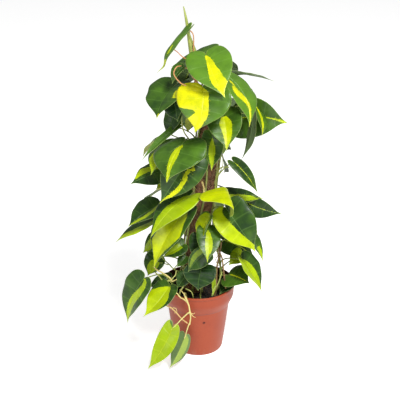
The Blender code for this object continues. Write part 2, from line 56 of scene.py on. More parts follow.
# Pot
POT_SIDES = 120
POT_OUTER = (  # radius and height from the middle of the base up to the lip
    (0, 0), (38.6, 0), (39.3, 0.15), (39.9, 0.8), (40.6, 2.5), (41.1, 5.5), (41.6, 9.0), (46.2, 45.5),
    (50.75, 81.4), (50.95, 82.5), (51.35, 83.3), (51.9, 84.0), (52.6, 85.8), (53.6, 88.0), (55.1, 91.2),
    (56.5, 94.2), (57.5, 96.6), (58.2, 98.9), (58.55, 101), (58.75, 104), (59.1, 110), (59.25, 112.7),
    (59.3, 113.2), (59.5, 113.6), (59.85, 113.9), (60.0, 114.4), (60.0, 117.0), (59.9, 117.7),
    (59.55, 118.1), (59.1, 118.2),
)
POT_INNER = (  # from the lip down to the middle of the floor
    (58.3, 118.2), (57.95, 117.9), (57.9, 117.2), (57.2, 104), (57.0, 100.5), (55.0, 95.0), (52.0, 88.0),
    (50.2, 84.0), (49.3, 82.6), (44.7, 45.5), (40.3, 9.0), (39.6, 4.0), (38.6, 2.3), (37.0, 2.0), (0, 2.0),
)
POT_SHARP = math.radians(40)
DRAIN_HOLES, DRAIN_RADIUS, DRAIN_CIRCLE, DRAIN_SIDES = 6, 4.0, 27.0, 32
DIMPLE_AT = (9.4, -48.0, 67.5)
DIMPLE_RADIUS, DIMPLE_STOPS, DIMPLE_SIDES = 1.5, 13, 24

# Soil, with the crumbs of its mix in metres
SOIL_TOP = 105.5
SOIL_LUMPS = 1.6
SOIL_EDGE, SOIL_RINGS, SOIL_SIDES = 57.0, 18, 72
CRUMB_LIFT = 0.5
CRUMBS = {"Density": 170000.0, "Smallest": 0.0006, "Largest": 0.0021, "Pole radius": 0.0192, "Seed": 5}
CRUMB_SQUASH = ((0.6, 0.6, 0.45), (1.2, 1.2, 1.0))
CRUMB_TURN = 3.0

# Pole, with the loose fibres of its coir in metres
POLE_FOOT, POLE_TOP = 26.0, 466.0
POLE_LEAN = math.radians(6.1)
POLE_AT_SOIL = -10.4
COIR_RADIUS, COIR_MAT = 18.0, 0.5
STAKE_BORE = 7.85
STEM_CLEAR = 0.9
SLEEVE_RINGS, SLEEVE_SIDES = 220, 96
SLEEVE_ROPES = ((0.45, 7, 0.045), (0.35, 11, -0.11))  # height, number and twist
SLEEVE_MATTED = 0.4
SLEEVE_END = (0.8, 3)  # how far the top edge is rounded in, and from how far below
FIBRES = {
    "Sleeve radius": COIR_RADIUS * MM, "Height": (POLE_TOP - SOIL_TOP) * MM, "Density": 34000.0,
    "Fibre length": 0.017, "Fibre radius": 0.00021, "Lift": 0.0012, "Seed": 3,
}
FIBRE_LEAN, FIBRE_SIZES, FIBRE_POINTS = 1.35, (0.4, 1.3), 7
FIBRE_SWAY, FIBRE_CURLS = 0.009, 130.0

# Strands: stems, petioles and aerial roots. A look is how pink, how old and how creamy they are
STRAND_SIDES, STRAND_START, STRAND_WRAP = 8, (0.31, 0.91, 0.27), (6.3, 0.01)
STEM_RADIUS, THIN_STEM, STEM_TAPER = 1.8, 1.4, 0.72
STEM_DEPTH, STEM_SIDES, STEM_STEPS = 34.0, 10, 20
NODE_SWELL, NODE_REACH = 0.35, 2.6
CLIMBING_LOOK, TRAILING_LOOK = (0, 0.45, 0.1), (0, 0.1, 0.9)
NEW_LEAF_LOOK, NEW_LEAF_STEPS, NEW_LEAF_SIDES = (0, 0.1, 0.18), 31, 12
RUNNER_STEPS = 6
ROOT_RADIUS, ROOT_RADII, ROOT_STEPS, ROOT_SIDES = 1.0, (1.2, 0.5), 14, 6
ROOT_WANDER, ROOT_LOOK = 0.5, (0, 0.9, 0.3)
ROOTLETS, ROOTLET_RADII, ROOTLET_STEPS, ROOTLET_SIDES = 2, (0.62, 0.25), 12, 5
ROOTLET_SWEEP, ROOTLET_DROP, ROOTLET_WANDER = 75, (8, 46), 3
ROOTLET_OFF, ROOTLET_ENDS = 0.3, (10, 12)  # off the coir, and clear of the stem's foot and pole's top
ROOTLET_OLD, ROOTLET_CREAM = 0.8, (0.1, 0.7)

# Petioles: their radius and its shares, how old they look at most, how far they spring from the
# stem with the cream in their look, which way they spring, and how they meet the blade's seat
PETIOLE_RADIUS, PETIOLE_STEPS = 1.25, 15
PETIOLE_WAIST, PETIOLE_TAPER, PETIOLE_FOOT, PETIOLE_HEAD = 0.78, 0.1, (0.75, 9), (0.25, 12)
PETIOLE_OLD = 0.15
PETIOLE_SPRING, TRAILING_SPRING = (0.38, 0.1), (0.1, 0.9)
SPRING_OUT, SPRING_UP = 0.45, 0.9
SEAT_SHARE, SEAT_DEPTH, SEAT_FROM_BELOW, SEAT_FROM_TIP, SEAT_PULL = 0.012, 0.5, 0.75, 0.35, 0.95

# Blades
BLADE_COLUMNS = (0, 0.03, 0.12, 0.27, 0.45, 0.63, 0.8, 0.93, 1)
ROWS_PER_STOP = 2
VEINS = 8
BLADE_THICKNESS = (0.5, 0.3)
HALF_OUTLINE = (  # share of the width, share of the length, where that vein leaves the midrib
    (0, 0, 0), (.012, -.06, .006), (.06, -.118, .014), (.165, -.15, .025), (.29, -.132, .04),
    (.4, -.06, .065), (.47, .05, .11), (.5, .18, .18), (.494, .31, .275), (.455, .44, .39), (.385, .56, .51),
    (.285, .67, .625), (.175, .765, .735), (.085, .85, .83), (.036, .915, .905), (.013, .965, .96), (0, 1, 1),
)
# Relief as shares of the half width: the round of the fold, the curl of the halves, then the
# waves and ripples of the edge, with how many there are and how they shift from leaf to leaf
FOLD_ROUND, HALF_CURL = 0.07, 0.10
WAVE, WAVE_COUNT, WAVE_SHIFT = 0.055, 7, 1.6
RIPPLE, RIPPLE_COUNT, RIPPLE_SHIFT = 0.025, 19, 2.3
TAIL_AT, TAIL_REACH = 0.82, 0.13
CELL_PUFF = 0.008
RIB_REACH, RIB_GROOVE, RIB_KEEL = 0.9, 0.25, 0.8
STREAK_REACH = 8
OPEN_FROM, OPEN_SLOPE = 0.96, 12

# Blade looks: colours are linear, and the streaks' ragged edges are in millimetres
DARK_GREEN, BRIGHT_GREEN = (0.009, 0.032, 0.006), (0.088, 0.200, 0.013)
OLIVE, LIME, YELLOW = (0.12, 0.19, 0.01), (0.34, 0.48, 0.001), (0.66, 0.63, 0.001)
LIME_SHADE = (0.20, 0.29, 0.002)
GREEN_VEIN, LIME_VEIN, VEIN_SHARE = (0.17, 0.33, 0.06), (0.62, 0.66, 0.03), 0.27
PALE_RIM, RIM_SHARE = (0.42, 0.52, 0.14), 0.55
UNDERSIDE = (0.20, 0.28, 0.12)
RAGGED, FINE, FLECKS = 3.0, 1.0, 0.55
TONE_DRIFT = 0.9
BLADE_GLOSS, BLADE_SPECULAR = 0.27, 0.27

# Strand looks
STEM_GREEN, STEM_LIGHT, STEM_CREAM = (0.17, 0.26, 0.035), (0.30, 0.36, 0.06), (0.66, 0.56, 0.20)
STEM_PINK, STEM_OLD = (0.60, 0.22, 0.10), (0.13, 0.062, 0.028)

# Pot looks, with places in metres
TERRACOTTA, TERRACOTTA_LIGHT, POT_SPECK = (0.290, 0.045, 0.014), (0.335, 0.057, 0.018), (0.55, 0.20, 0.12)
# The inside colour is painted shade for the inner wall above the soil
POT_DUST, POT_INSIDE_SHADE, POT_CREASE_SHADE = (0.36, 0.20, 0.13), (0.02, 0.012, 0.008), (0.07, 0.012, 0.008)
# Painted shade in the crease under the collar and in the groove under the rolled lip, in the crease colour
# above
POT_CREASE_SHADES = ((0.0840, 0.0012, 0.75), (0.1133, 0.0007, 0.6))  # height, reach and strength
# The dimple's colour is painted shade in its hollow
DIMPLE_PAINTED_SHADE, DIMPLE_REACH = (0.09, 0.018, 0.012), (0.0032, 0.0011)

# Rough surfaces: the scale, two colours and amount of their mottle, their roughness, the distance
# and strength of their relief, flecks by an attribute from low to high in a third colour, and
# how the pattern is stretched
COIR = (85.0, (0.12, 0.052, 0.024), (0.30, 0.145, 0.065), 1.0, 0.88, (0.0012, 0.9))
ROUGH = {
    "potting_mix": (
        140.0, (0.010, 0.008, 0.007), (0.030, 0.020, 0.014), 0.9, 0.92, (0.0008, 0.9),
        ("crumb", 0.80, 0.95, (0.085, 0.045, 0.025)),
    ),
    "coir_mat": COIR,
    "coir_fibre": (*COIR, ("fibre", 0.35, 1.0, (0.42, 0.25, 0.14))),
    "stake_wood": (
        1.0, (0.42, 0.27, 0.14), (0.25, 0.14, 0.065), 0.8, 0.7, (0.0004, 0.6), None, (300.0, 300.0, 12.0),
    ),
}

# Studio, in metres apart from the floor and the sensor: each light's name, place, aim, size and
# power, then the camera with its picture and focal length in pixels
LIGHTS = (
    ("key", (0.6, -1.25, 2.0), (0, 0, 0.3), 0.6, 62),
    ("fill", (-1.3, -1.3, 1.3), (0, 0, 0.28), 0.8, 10),
)
WORLD_LIGHT = 0.34
FLOOR_PALE, FLOOR_ROUGH, FLOOR_GLOW = (0.94, 0.94, 0.94), 0.3, 0.54
FLOOR_CORNERS = ((-9000, -9000, 0), (9000, -9000, 0), (9000, 12000, 0), (-9000, 12000, 0))
CAMERA_PLACE, CAMERA_DOWN = (0.003, -1.466, 0.920), 24.1
SENSOR, PICTURE, FOCUS = 36, 400, 1013

# A leaf: the height where its petiole leaves the stem, its base and tip, its width, the azimuth
# and elevation that its upper side faces, its V fold, its droop, the bow of its midrib and how
# much more one half folds than the other. Then its looks: the tone of its green from dark to
# bright, which is partly the leaf's own green and partly painted sheen on glossy leaves and
# painted shade on shaded ones, its gold from olive over lime to yellow and its lime streaks.
# Then how long its lobes are, how pink its petiole is, the green patches in its streaks and how
# far its tail curls. A streak lists how far along the midrib, then its left and right edge, for a
# leaf that hangs.
Leaf = namedtuple(
    "Leaf", "node base tip width face fold droop bow lean tone gold lime lobe blush green curl",
    defaults=(9, 0, 0.3, 0, (), 1, 0, (), 0),
)
TIP = (1, -1, 1)
ALL = ((0, -1, 1), TIP)
MIDRIB = ((0, -0.05, 0.05), (1, -0.05, 0.05))

# A climbing stem: its height and azimuth round the pole, from the soil to its last leaf
CLIMBERS = {
    "vine_front": ((105, 4), (190, -14), (290, 6), (380, -8), (458, 2)),
    "vine_front_right": ((105, 50), (180, 42), (270, 58), (360, 44), (452, 52)),
    "vine_right": ((228, 92), (300, 106), (380, 94), (448, 98)),
    "vine_left": ((105, -104), (190, -96), (280, -110), (370, -98), (456, -104)),
    "vine_front_left": ((105, -52), (180, -60), (270, -46), (370, -58), (458, -50)),
    "vine_back_left": ((105, -156), (200, -148), (300, -160), (380, -150), (452, -154)),
    "vine_back_right": ((105, 152), (190, 144), (280, 158), (370, 148), (450, 152)),
}
FREE_START = {
    "vine_right": ((28, -16, 105), (35, -13, 128), (36, -12, 152), (30, -8, 186)),
}
FREE_END = {
    "vine_front_left": ((-3, -14, 484), (-5, -6, 500), (-10, -2, 524)),
}
SHOOTS = {
    "shoot_left": ((-34, -25, 105), (-37, -27, 118), (-44, -28, 132), (-54, -28, 146)),
    "shoot_front": ((4, -38, 105), (4, -36, 118), (7, -30, 132), (12, -25, 144)),
    "vine_trailing": (
        (-18, -36, 105), (-20, -42, 117), (-22, -54, 125), (-20, -64, 123), (-15, -67.5, 112),
        (-13, -67, 98), (-12, -63, 86), (-14, -61, 72),
    ),
}

LEAVES = {}
LEAVES["vine_front"] = (
    (446, (12, -28, 509), (39, -88, 463), 70, (4, 22), 14, 30, -8, 8, .8, .95, (((0, -.12, .02),
        (.16, -.07, .18), (.35, -.14, .26), (.46, -.22, .4), (.58, -.36, .5), (.65, -.45, .75),
        (.72, -.55, 1), (.9, -.6, 1), TIP),), .9, .8),
    (430, (7, -56, 469), (-5, -92, 411), 86, (-8, 30), 2, 35, 20, -14, .6, 1, (((0, -1, .02), (.12, -1, .2),
        (.3, -1, .18), (.5, -1, .28), (.65, -1, .45), (.76, -1, .5), (.86, -1, .9), TIP),), .7, 1,
        (((.45, -1, -.9), (.49, -1, -.45), (.57, -1, -.33), (.62, -1, -.55), (.68, -1, -.9)),)),
    (404, (37, -42, 423), (42, -80, 379), 58, (0, 12), 24, 20, 10, -6, .45, .5, (((.08, -.1, .15),
        (.29, -.35, .4), (.5, -.3, .42), (.75, -.35, .65), (.93, -1, 1), TIP),)),
    (350, (-22, -48.6, 380), (-46, -94.4, 334), 88, (-28, 14), -6, 30, -11, -9, .5, .4, (((.06, .04, .12),
        (.2, -.12, .1), (.41, -.16, .16), (.6, -.18, .14), (.75, -.2, .18), (.88, -.35, .6), TIP),), 1.4),
    (322, (-9, -50, 358), (-58, -72, 290), 64, (12, 8), 13, 25, -6, -4, .3, .6, (((.02, -.06, .06),
        (.12, .05, .19), (.26, .15, .35), (.35, .23, .47), (.48, .34, .6), (.57, .38, .72), (.66, .44, .85),
        (.78, .5, 1), (.9, .2, 1), TIP), ((.1, .1, .3), (.15, .24, .46), (.2, .4, .58))), 1.3),
    (282, (43, -42, 303), (53, -96, 291), 88, (38, 26), -42, 25, -13, 2, .5, .45, (ALL,), .9),
    (228, (17, -46, 255), (4, -50, 212), 36, (-54, 22), 26, 20, -15, -5, .5, .35, (((0, -.8, .5),
        (.3, -1, .7), (.5, -1, 1), TIP),), 1.1),
    (208, (15, -46, 235), (14, -84, 196), 38, (3, 16), 8, 25, 8, 0, .4, .35, (((.05, -.12, .12),
        (.4, -.35, .35), (.7, -.5, .5), (.85, -.8, .2), TIP),)),
    (150, (14, -54, 199), (-16, -56, 165), 34, (-2, 36), 24, 30, -10, 8, .25, -.95, (((.1, -.75, -.2),
        (.8, -.7, -.2)),), .6),
    (178, (2, -34, 216), (-4, -48, 180), 34, (-8, 26), 14, 22, 9, 0, .2),
)
LEAVES["vine_front_right"] = (
    (438, (45, -28, 476), (75, -70, 412), 60, (38, 12), 2, 25, 28, 14, .8, .95, (((.1, -.3, -.15),
        (.2, -.45, -.25), (.3, -.65, -.25), (.4, -.65, -.08), (.5, -.4, .06), (.6, -.15, .2),
        (.75, -.05, .35), (.88, -.3, .5), TIP),)),
    (362, (21, -35, 387), (20, -53, 336), 34, (-8, 8), 15, 18, 9, 0, .35, .2, (((.1, -.05, .05),
        (.35, -.4, .25), (.7, -.6, .3), TIP),)),
    (392, (82, -24, 415), (66, -36, 347), 32, (112, 4), 10, 20, -9, -3, 0),
    (304, (56, -24, 338), (92, -46, 295), 24, (6, 30), 30, 25, 10, -3, .3, .3, (MIDRIB,)),
    (212, (36, -22, 248), (56, -34, 204), 34, (20, 18), 14, 22, -9, 0, .2),
    (346, (44, -25, 402), (46, -33, 366), 26, (14, 14), 14, 22, 9, 0, .15),
    (250, (43, -34, 266), (90, -56, 200), 68, (22, 30), 22, 30, -4, -12, .25, .3, (((0, -1, -.45),
        (.05, -1, -.36), (.28, -1, -.26), (.56, -1, -.16), (.7, -1, 0), (.78, -1, .3), (.86, -1, 1), TIP),),
        .6),
)
LEAVES["vine_right"] = (
    (446, (49, 13, 470), (116, 20, 454), 38, (182, 64), 4, 25, 13, -3, .4),
    (408, (87, 6, 420), (97, -22, 379), 38, (62, 14), 14, 30, 14, 0, .5, .5, (((0, -.08, .1),
        (.5, -.05, .3), (.8, -.2, .5), TIP),)),
    (376, (63, 16, 395), (138, 0, 393), 68, (0, 14), 20, 20, 18, -5, .45, .3, (((0, -.03, .03),
        (.6, -.05, .05), (.78, -.15, .15), (.9, -.7, .7), TIP),)),
    (318, (36, 24, 334), (42, 44, 292), 44, (96, 18), 12, 24, -9, 0, .2),
    (262, (44, -8, 277), (104, 4, 265), 32, (6, 60), 10, 22, -6, 4, .2, .1, (((.05, -.3, .05),
        (.3, -.7, .15), (.6, -.85, .25), (.85, -.9, .4), TIP),)),
    (236, (73, 5, 260), (134, -2, 241), 36, (-16, 18), 18, 20, -8, -8, .15, -.3, (((0, -.03, .03),
        (1, -.03, .03)),)),
    (220, (65, -6, 246), (88, -18, 197), 40, (50, 14), 14, 22, 9, 0, .2),
    (184, (80, 2, 206), (105, -16, 161), 30, (60, 18), 14, 20, 9, 0, .4, 0, (((.5, -.5, .5), TIP),)),
    (160, (42, 18, 184), (93, 20, 152), 44, (10, 40), 12, 24, 9, 0, .3, .1, (MIDRIB,)),
    (158, (71, -32, 175), (102, -44, 123), 48, (58, 28), 22, 25, -4, 6, .25, .15, (((0, -1, .1),
        (.2, -1, .3), (.5, -1, .42), (.75, -1, .6), (.9, -1, 1), TIP),)),
    (134, (51, -23, 143), (82, -50, 141), 50, (-3, 57), 4, 20, 5, 4, .45, .7, (MIDRIB,), .8),
    (146, (70, -8, 174), (48, -28, 162), 28, (-10, 46), 16, 20, 9, 0, .5, -.1, (ALL,)),
    (112, (52, -18, 130), (34, -38, 114), 26, (-30, 50), 10, 16, 9, 0, .1),
)
LEAVES["vine_left"] = (
    (440, (-35, -11, 457), (-61, -50, 418), 80, (-53, 12), 13, 30, -11, 15, .36, .7, (((.86, .3, 1),
        (1, -.5, 1)), ((.18, .45, .7), (.26, .4, .85), (.42, .6, 1))), 1.3, .9),
    (420, (-36, -26, 440), (-30, -48, 413), 42, (-32, 14), 6, 25, 9, -5, .1),
    (396, (-34, -6, 415), (-49, -12, 377), 34, (-40, 16), 14, 22, 9, 0, .15),
    (366, (-31, -16, 393), (-87, -40, 346), 17, (-48, 28), 24, 25, 2, 2, .6),
    (340, (-33, -12, 364), (-71, -60, 332), 64, (-50, 16), 18, 25, -10, -4, .55, .2, (((.25, -.6, .1),
        (.6, -.9, .2), TIP),)),
    (290, (-55, -4, 316), (-105, -24, 302), 52, (-30, 56), 4, 24, 3, -2, .3, .3, (((.1, -.5, -.25),
        (.5, -.9, -.3), (.8, -1, -.5)),), 1.1),
    (276, (-46, -8, 304), (-66, -16, 290), 24, (-40, 40), 18, 20, 9, 0, .3, .1, (((.2, -.3, .3), TIP),)),
    (238, (-64, -6, 258), (-110, -36, 234), 54, (-48, 38), 14, 26, 3, -2, .25, .2, (((0, .05, .25),
        (.5, .3, .7), (1, 0, 1)),)),
    (204, (-75, -6, 230), (-132, -20, 199), 33, (-8, 88), 5, 22, 0, 0, .25, .2, (((0, .2, 1), (.5, 0, 1),
        (.8, -.6, 1), TIP),)),
    (168, (-62, 10, 196), (-90, 0, 170), 32, (-30, 30), 14, 20, 9, 0, .35, -.2, (((.2, -.5, .2), TIP),)),
    (212, (-36, -18, 246), (-54, -32, 206), 40, (-24, 18), 14, 22, -9, 0, .25),
)
LEAVES["vine_front_left"] = (
    (498, (-14, -14, 543), (-61, -28, 482), 31, (-66, 18), 14, 44, 28, -12, .6, .4, (((.68, -1, 1),
        (.8, -1, 1), TIP), ((.36, -.6, -.4), (.48, -.55, -.3), (.58, -.45, -.25))), 1, .9, (), 5),
    (484, (23, -2, 511), (-40, -12, 486), 34, (-20, 76), 4, 20, 8, -4, .4, 0, (), 1, 1),
    (470, (-22, -26, 490), (-38, -38, 468), 26, (-50, 20), 30, 30, -9, 0, .4, -.4, (), 1, 1),
    (262, (-14, -42, 290), (-72, -90, 242), 62, (-44, 30), 8, 26, -9, -8, .25, -.2, (((0, -.12, 1),
        (.28, -.3, 1), (.55, -.48, 1), (.8, -.75, 1), TIP),)),
    (242, (-20, -44, 265), (-69, -76, 182), 68, (-38, 38), 22, 30, -4, -4, .35, .45, (((0, -.3, .3),
        (.19, -.5, .68), (.33, -.6, .92), (.46, -.66, .85), (.56, -.88, .78), (.72, -.92, .66),
        (.88, -1, .9), TIP),)),
    (158, (-66, -20, 173), (-81, -38, 148), 38, (-24, 24), 18, 24, 9, 0, .25, 0, (((.2, -.3, .5), TIP),)),
    (176, (-24, -34, 202), (-56, -46, 186), 32, (-16, 50), 14, 20, 9, 0, .3, -.3, (((.1, -.4, .3),
        (1, -.5, .5)),)),
    (150, (-20, -34, 180), (-34, -42, 166), 20, (-24, 40), 20, 20),
)
LEAVES["vine_back_left"] = (
    (444, (-10, 30, 475), (-28, 56, 427), 50, (-164, 30), 12, 28, -8),
    (418, (-30, 34, 446), (-68, 60, 400), 64, (-128, 28), 12, 30, 12),
    (372, (-12, 50, 404), (-18, 86, 346), 70, (186, 26), 8, 28, -14),
    (336, (-44, 28, 366), (-90, 46, 318), 48, (-118, 30), 16, 26),
    (290, (-22, 48, 320), (-42, 84, 262), 66, (-162, 24), 10, 30, 14),
    (244, (-52, 32, 272), (-94, 54, 228), 44, (-116, 32), 18, 26, -10),
    (198, (-30, 46, 226), (-54, 78, 174), 60, (-150, 26), 10, 28, -6),
    (152, (-50, 28, 180), (-86, 50, 138), 42, (-128, 30), 14, 26, 12),
)
LEAVES["vine_back_right"] = (
    (440, (32, 36, 478), (50, 76, 432), 46, (164, 32), 14, 28, -9),
    (408, (58, 28, 450), (86, 52, 414), 50, (124, 30), 12, 28, 10),
    (380, (34, 48, 416), (50, 88, 362), 66, (160, 26), 10, 28, -12),
    (334, (38, 34, 368), (46, 62, 322), 50, (98, 16), 12, 26),
    (308, (22, 46, 342), (30, 82, 290), 48, (172, 26), 12, 30, 10),
    (252, (48, 36, 268), (78, 60, 222), 56, (140, 28), 10, 28, -14),
    (224, (22, 50, 256), (32, 90, 200), 64, (172, 24), 10, 28, 8),
    (184, (58, 32, 214), (98, 54, 168), 50, (128, 30), 14, 26, -9),
)
LEAVES["shoot_left"] = (
    (138, (-87, -52, 150), (-114, -52, 69), 55, (-52, 22), 14, 25, -12, 5, .3, .15, (((0, .25, .5),
        (.1, .25, .62), (.2, .15, .64), (.31, .02, .6), (.5, -.18, .52), (.66, -.3, .6), (.8, -.6, .8),
        TIP),), .8),
    (128, (-46, -56, 140), (-86, -92, 105), 50, (-30, 37), 16, 25, 18, -12, .3, .3, (((.03, -.05, .25),
        (.08, -.2, .3), (.17, -.5, .38), (.25, -.75, .52), (.32, -1, .68), (.5, -1, .82), (.7, -1, 1),
        TIP),), .6),
    (134, (-46, -20, 133), (-82, -26, 122), 28, (-20, 52), 14, 20, 9, 0, .1),
)
LEAVES["shoot_front"] = (
    (132, (6, -42, 167), (0, -56, 131), 58, (20, 54), 28, 22, -12, -8, .1, 0, (), .8),
    (124, (-20, -38, 150), (-34, -46, 131), 26, (-24, 36), 16, 20, 9, 0, .2),
    (126, (24, -44, 146), (23, -52, 118), 8, (10, 16), 30, 16, 9, 0, .45, -.6, (ALL,)),
)
LEAVES["vine_trailing"] = (
    (98, (-42, -70, 69), (-82, -90, 6), 34, (-13, 25), 12, 25, 12, 0, .5, -.35, (ALL,), 1, 0,
        (((0, -1, -.3), (.02, -1, -.5), (.04, -1, -.8)),)),
    (74, (-22, -62, 48), (-46, -96, 12), 32, (160, 20), 34, 20, -10, 0, .35, .15, (((0, -.7, .05),
        (.5, -.75, .08), (.85, -1, .1), TIP),)),
)
BACK_STREAKS = (
    ((0, -.06, .12), (.3, -.1, .45), (.6, -.05, .9), (.8, -.3, 1), TIP),
    ((.05, -.2, .05), (.5, -.5, .1), (.8, -.9, .2), TIP),
    ((0, -1, 0), (.4, -1, .1), (.7, -1, .4), TIP),
    ((.15, -.1, .1), (.5, -.3, .25), (1, -.8, 1)),
    ((0, -.05, .04), (1, -.08, .06)),
    ((.3, .35, .9), (.6, .3, 1), (1, -.3, 1)),
)

# The rolled new leaf at the very top: places and radii
NEW_LEAF = (
    (-4, -8, 490, 2.6), (-7, -4, 504, 5.8), (-11, -2, 520, 4.2), (-14, 0, 533, 2.6),
    (-17, 0, 553, 2.1), (-21, 0, 573.9, 0.8),
)
# Aerial roots: each runs from its stem round the pole, by height and azimuth
ROOTS = {
    "vine_front": (((300, 4), (292, 18), (282, 26)), ((236, -6), (228, -22), (216, -28))),
    "vine_front_right": (((330, 50), (318, 34), (300, 28)), ((206, 44), (196, 32), (182, 28))),
    "vine_left": (((320, -104), (310, -88), (296, -80)),),
    "vine_back_left": (((340, -156), (332, -172), (320, -180)), ((232, -150), (224, -132), (212, -126))),
    "vine_back_right": (((316, 152), (306, 168), (292, 172)), ((240, 150), (232, 132), (220, 126))),
}

# Thin runners and roots away from the pole: their two end radii, their look and their places
RUNNERS = {}
RUNNERS["vine_trailing"] = (
    (1.3, .9, (.55, 0, .9), ((-54, -62, 110), (-47, -64, 107), (-42, -64, 104), (-34, -64, 95),
        (-26, -65, 85), (-17, -65, 77))),
    (.55, .4, (.2, 0, .9), ((-42, -64, 104), (-39, -66, 106), (-35, -66, 104), (-34, -66, 98),
        (-38, -65, 96))),
    (.9, .35, (.2, 0, 1), ((-13, -66, 97), (-8, -67, 91), (-4, -66, 88))),
    (.6, .3, (.2, 0, 1), ((-13, -66, 97), (-8, -68, 96), (-5, -68, 98))),
    (1.1, .9, (.1, 0, .95), ((-40, -54, 131), (-33, -58, 127), (-28, -61, 122), (-22, -64, 120),
        (-17, -66, 115))),
    (.8, .8, (.2, .2, .8), ((-29, -52, 131), (-24, -58, 129), (-20, -61, 124), (-16, -65, 117))),
    (1.2, 1, (0, 0, .4), ((-19, -44, 140), (-25, -48, 132), (-29, -47, 124), (-30, -44, 108))),
    (.8, .7, (0, .3, .3), ((-20, -50, 132), (-14, -54, 131), (-10, -54, 127), (-8, -52, 118),
        (-8, -48, 106))),
)
RUNNERS["shoot_left"] = (
    (1.1, 1.3, (.1, 0, .95), ((-70, -40, 166), (-65, -44, 162), (-58, -44, 158), (-51, -44, 153),
        (-46, -44, 149), (-43, -42, 144))),
    (1, 1.2, (0, 0, .3), ((-68, -44, 158), (-62, -44, 151), (-58, -44, 145), (-54, -44, 142),
        (-44, -42, 142))),
    (1, .8, (0, .1, .4), ((-44, -42, 141), (-40, -42, 147), (-36, -41, 152), (-35, -38, 158))),
    (1, .6, (.1, 0, .9), ((-43, -42, 142), (-40, -42, 141), (-34, -43, 145))),
    (1.4, 1.4, (0, .1, .4), ((-44, -28, 132), (-44, -36, 137), (-43, -42, 143))),
)
RUNNERS["vine_front_left"] = (
    (.8, .9, (0, .35, 0), ((-60, -32, 182), (-53, -34, 174), (-46, -34, 167), (-38, -34, 158),
        (-24, -28, 148))),
    (.7, .8, (0, .2, .1), ((-62, -34, 170), (-55, -34, 169), (-47, -34, 166))),
    (.8, .7, (0, .3, .1), ((-40, -34, 158), (-35, -34, 164), (-29, -34, 174), (-26, -30, 184))),
    (.8, 1, (.9, .3, 0), ((-24, -30, 493), (-31, -42, 495), (-35, -46, 488), (-33, -46, 481),
        (-24, -46, 471), (-12, -44, 467), (-4, -32, 470))),
    (2.4, 2, (.8, 0, .3), ((-8, -26, 478), (-4, -30, 472), (0, -28, 464))),
    (.7, .8, (1, 0, .1), ((-36, -22, 516), (-30, -20, 511), (-23, -20, 504), (-12, -14, 496))),
)
RUNNERS["vine_front_right"] = (
    (1.6, 1.2, (.5, .7, .1), ((27, -29, 104), (29, -31, 130), (30, -30, 158), (32, -30, 173),
        (35, -30, 189), (37, -26, 204))),
    (1.5, 1.1, (.6, .7, .1), ((46, -28, 104), (43, -33, 135), (40, -34, 161), (38, -34, 178),
        (33, -34, 193), (30, -27, 208))),
    (.9, .9, (.1, .4, 0), ((25, -26, 303), (29, -26, 316), (32, -26, 326), (37, -26, 331), (48, -26, 331))),
    (.6, .6, (.1, .3, 0), ((37, -20, 349), (38, -20, 341), (38, -20, 331), (34, -20, 321), (28, -20, 307))),
    (.9, .9, (0, .2, .2), ((46, -22, 341), (52, -22, 336), (58, -22, 338))),
    (.6, .6, (.3, .4, .4), ((25, -32, 193), (32, -32, 185), (28, -32, 174), (33, -32, 163))),
    (.9, .9, (0, 0, .2), ((38, -46, 160), (33, -46, 143), (29, -46, 133))),
    (.9, .9, (0, 0, .2), ((28, -50, 137), (24, -50, 129), (22, -50, 118))),
)
RUNNERS["vine_front"] = (
    (1.5, 1.4, (.3, .3, .7), ((6, -24, 307), (9, -24, 295), (8, -24, 282))),
    (.9, 1.1, (0, 0, .25), ((-24, -32, 416), (-24, -33, 404), (-21, -33, 391), (-14, -30, 379))),
)

# How many numbers each value of a leafy stem's points has
VALUE_WIDTHS = {"streak": 1, "leaf_look": 3, "leaf_place": 3, "strand_look": 3, "uv": 2}


def curve_at(controls, stops):
    """Points of a smooth curve through the controls, at these stops counted in controls."""
    controls = np.array(controls, float)
    ends = np.vstack([2 * controls[0] - controls[1], controls, 2 * controls[-1] - controls[-2]])
    first = np.minimum(np.array(stops).astype(int), len(controls) - 2)
    u = (np.array(stops) - first)[:, None]
    a, b, c, d = (ends[first + k] for k in range(4))
    bend, turn = 2 * a - 5 * b + 4 * c - d, 3 * b - a - 3 * c + d
    return 0.5 * (2 * b + (c - a) * u + bend * u**2 + turn * u**3)


def curve_points(controls, count):
    """Points at even steps of a smooth curve through the controls."""
    return curve_at(controls, np.linspace(0, len(controls) - 1, count))


def direction(azimuth, elevation=0.0):
    turn, rise = math.radians(azimuth), math.radians(elevation)
    flat = math.cos(rise)
    return np.array([math.sin(turn) * flat, -math.cos(turn) * flat, math.sin(rise)])


def pole_axis(height):
    return np.array([POLE_AT_SOIL + (height - SOIL_TOP) * math.tan(POLE_LEAN), 0.0, height])


def beside_pole(height, azimuth, radius, clear=STEM_CLEAR):
    return pole_axis(height) + (COIR_RADIUS + COIR_MAT + clear + radius) * direction(azimuth)


def unit(vector):
    return vector / np.linalg.norm(vector)


def mesh_object(name, points, faces, *materials):
    """A smooth mesh object from points in millimetres."""
    mesh = bpy.data.meshes.new(name)
    mesh.from_pydata((np.array(points) * MM).tolist(), [], faces)
    mesh.update()
    for finish in materials:
        mesh.materials.append(finish)
    mesh.shade_smooth()
    made = bpy.data.objects.new(name, mesh)
    bpy.context.scene.collection.objects.link(made)
    return made


def settle(thing):
    """Applies the object's modifiers to its mesh."""
    graph = bpy.context.evaluated_depsgraph_get()
    done = bpy.data.meshes.new_from_object(thing.evaluated_get(graph))
    thing.modifiers.clear()
    thing.data = done


def band(low, high):
    """Faces between two rings of point numbers, with three corners where a ring is one point."""
    faces = []
    for k in range(len(low)):
        after = (k + 1) % len(low)
        faces.append(list(dict.fromkeys([low[k], low[after], high[after], high[k]])))
    return faces


def ring_numbers(count, sides):
    return [range(ring * sides, (ring + 1) * sides) for ring in range(count)]


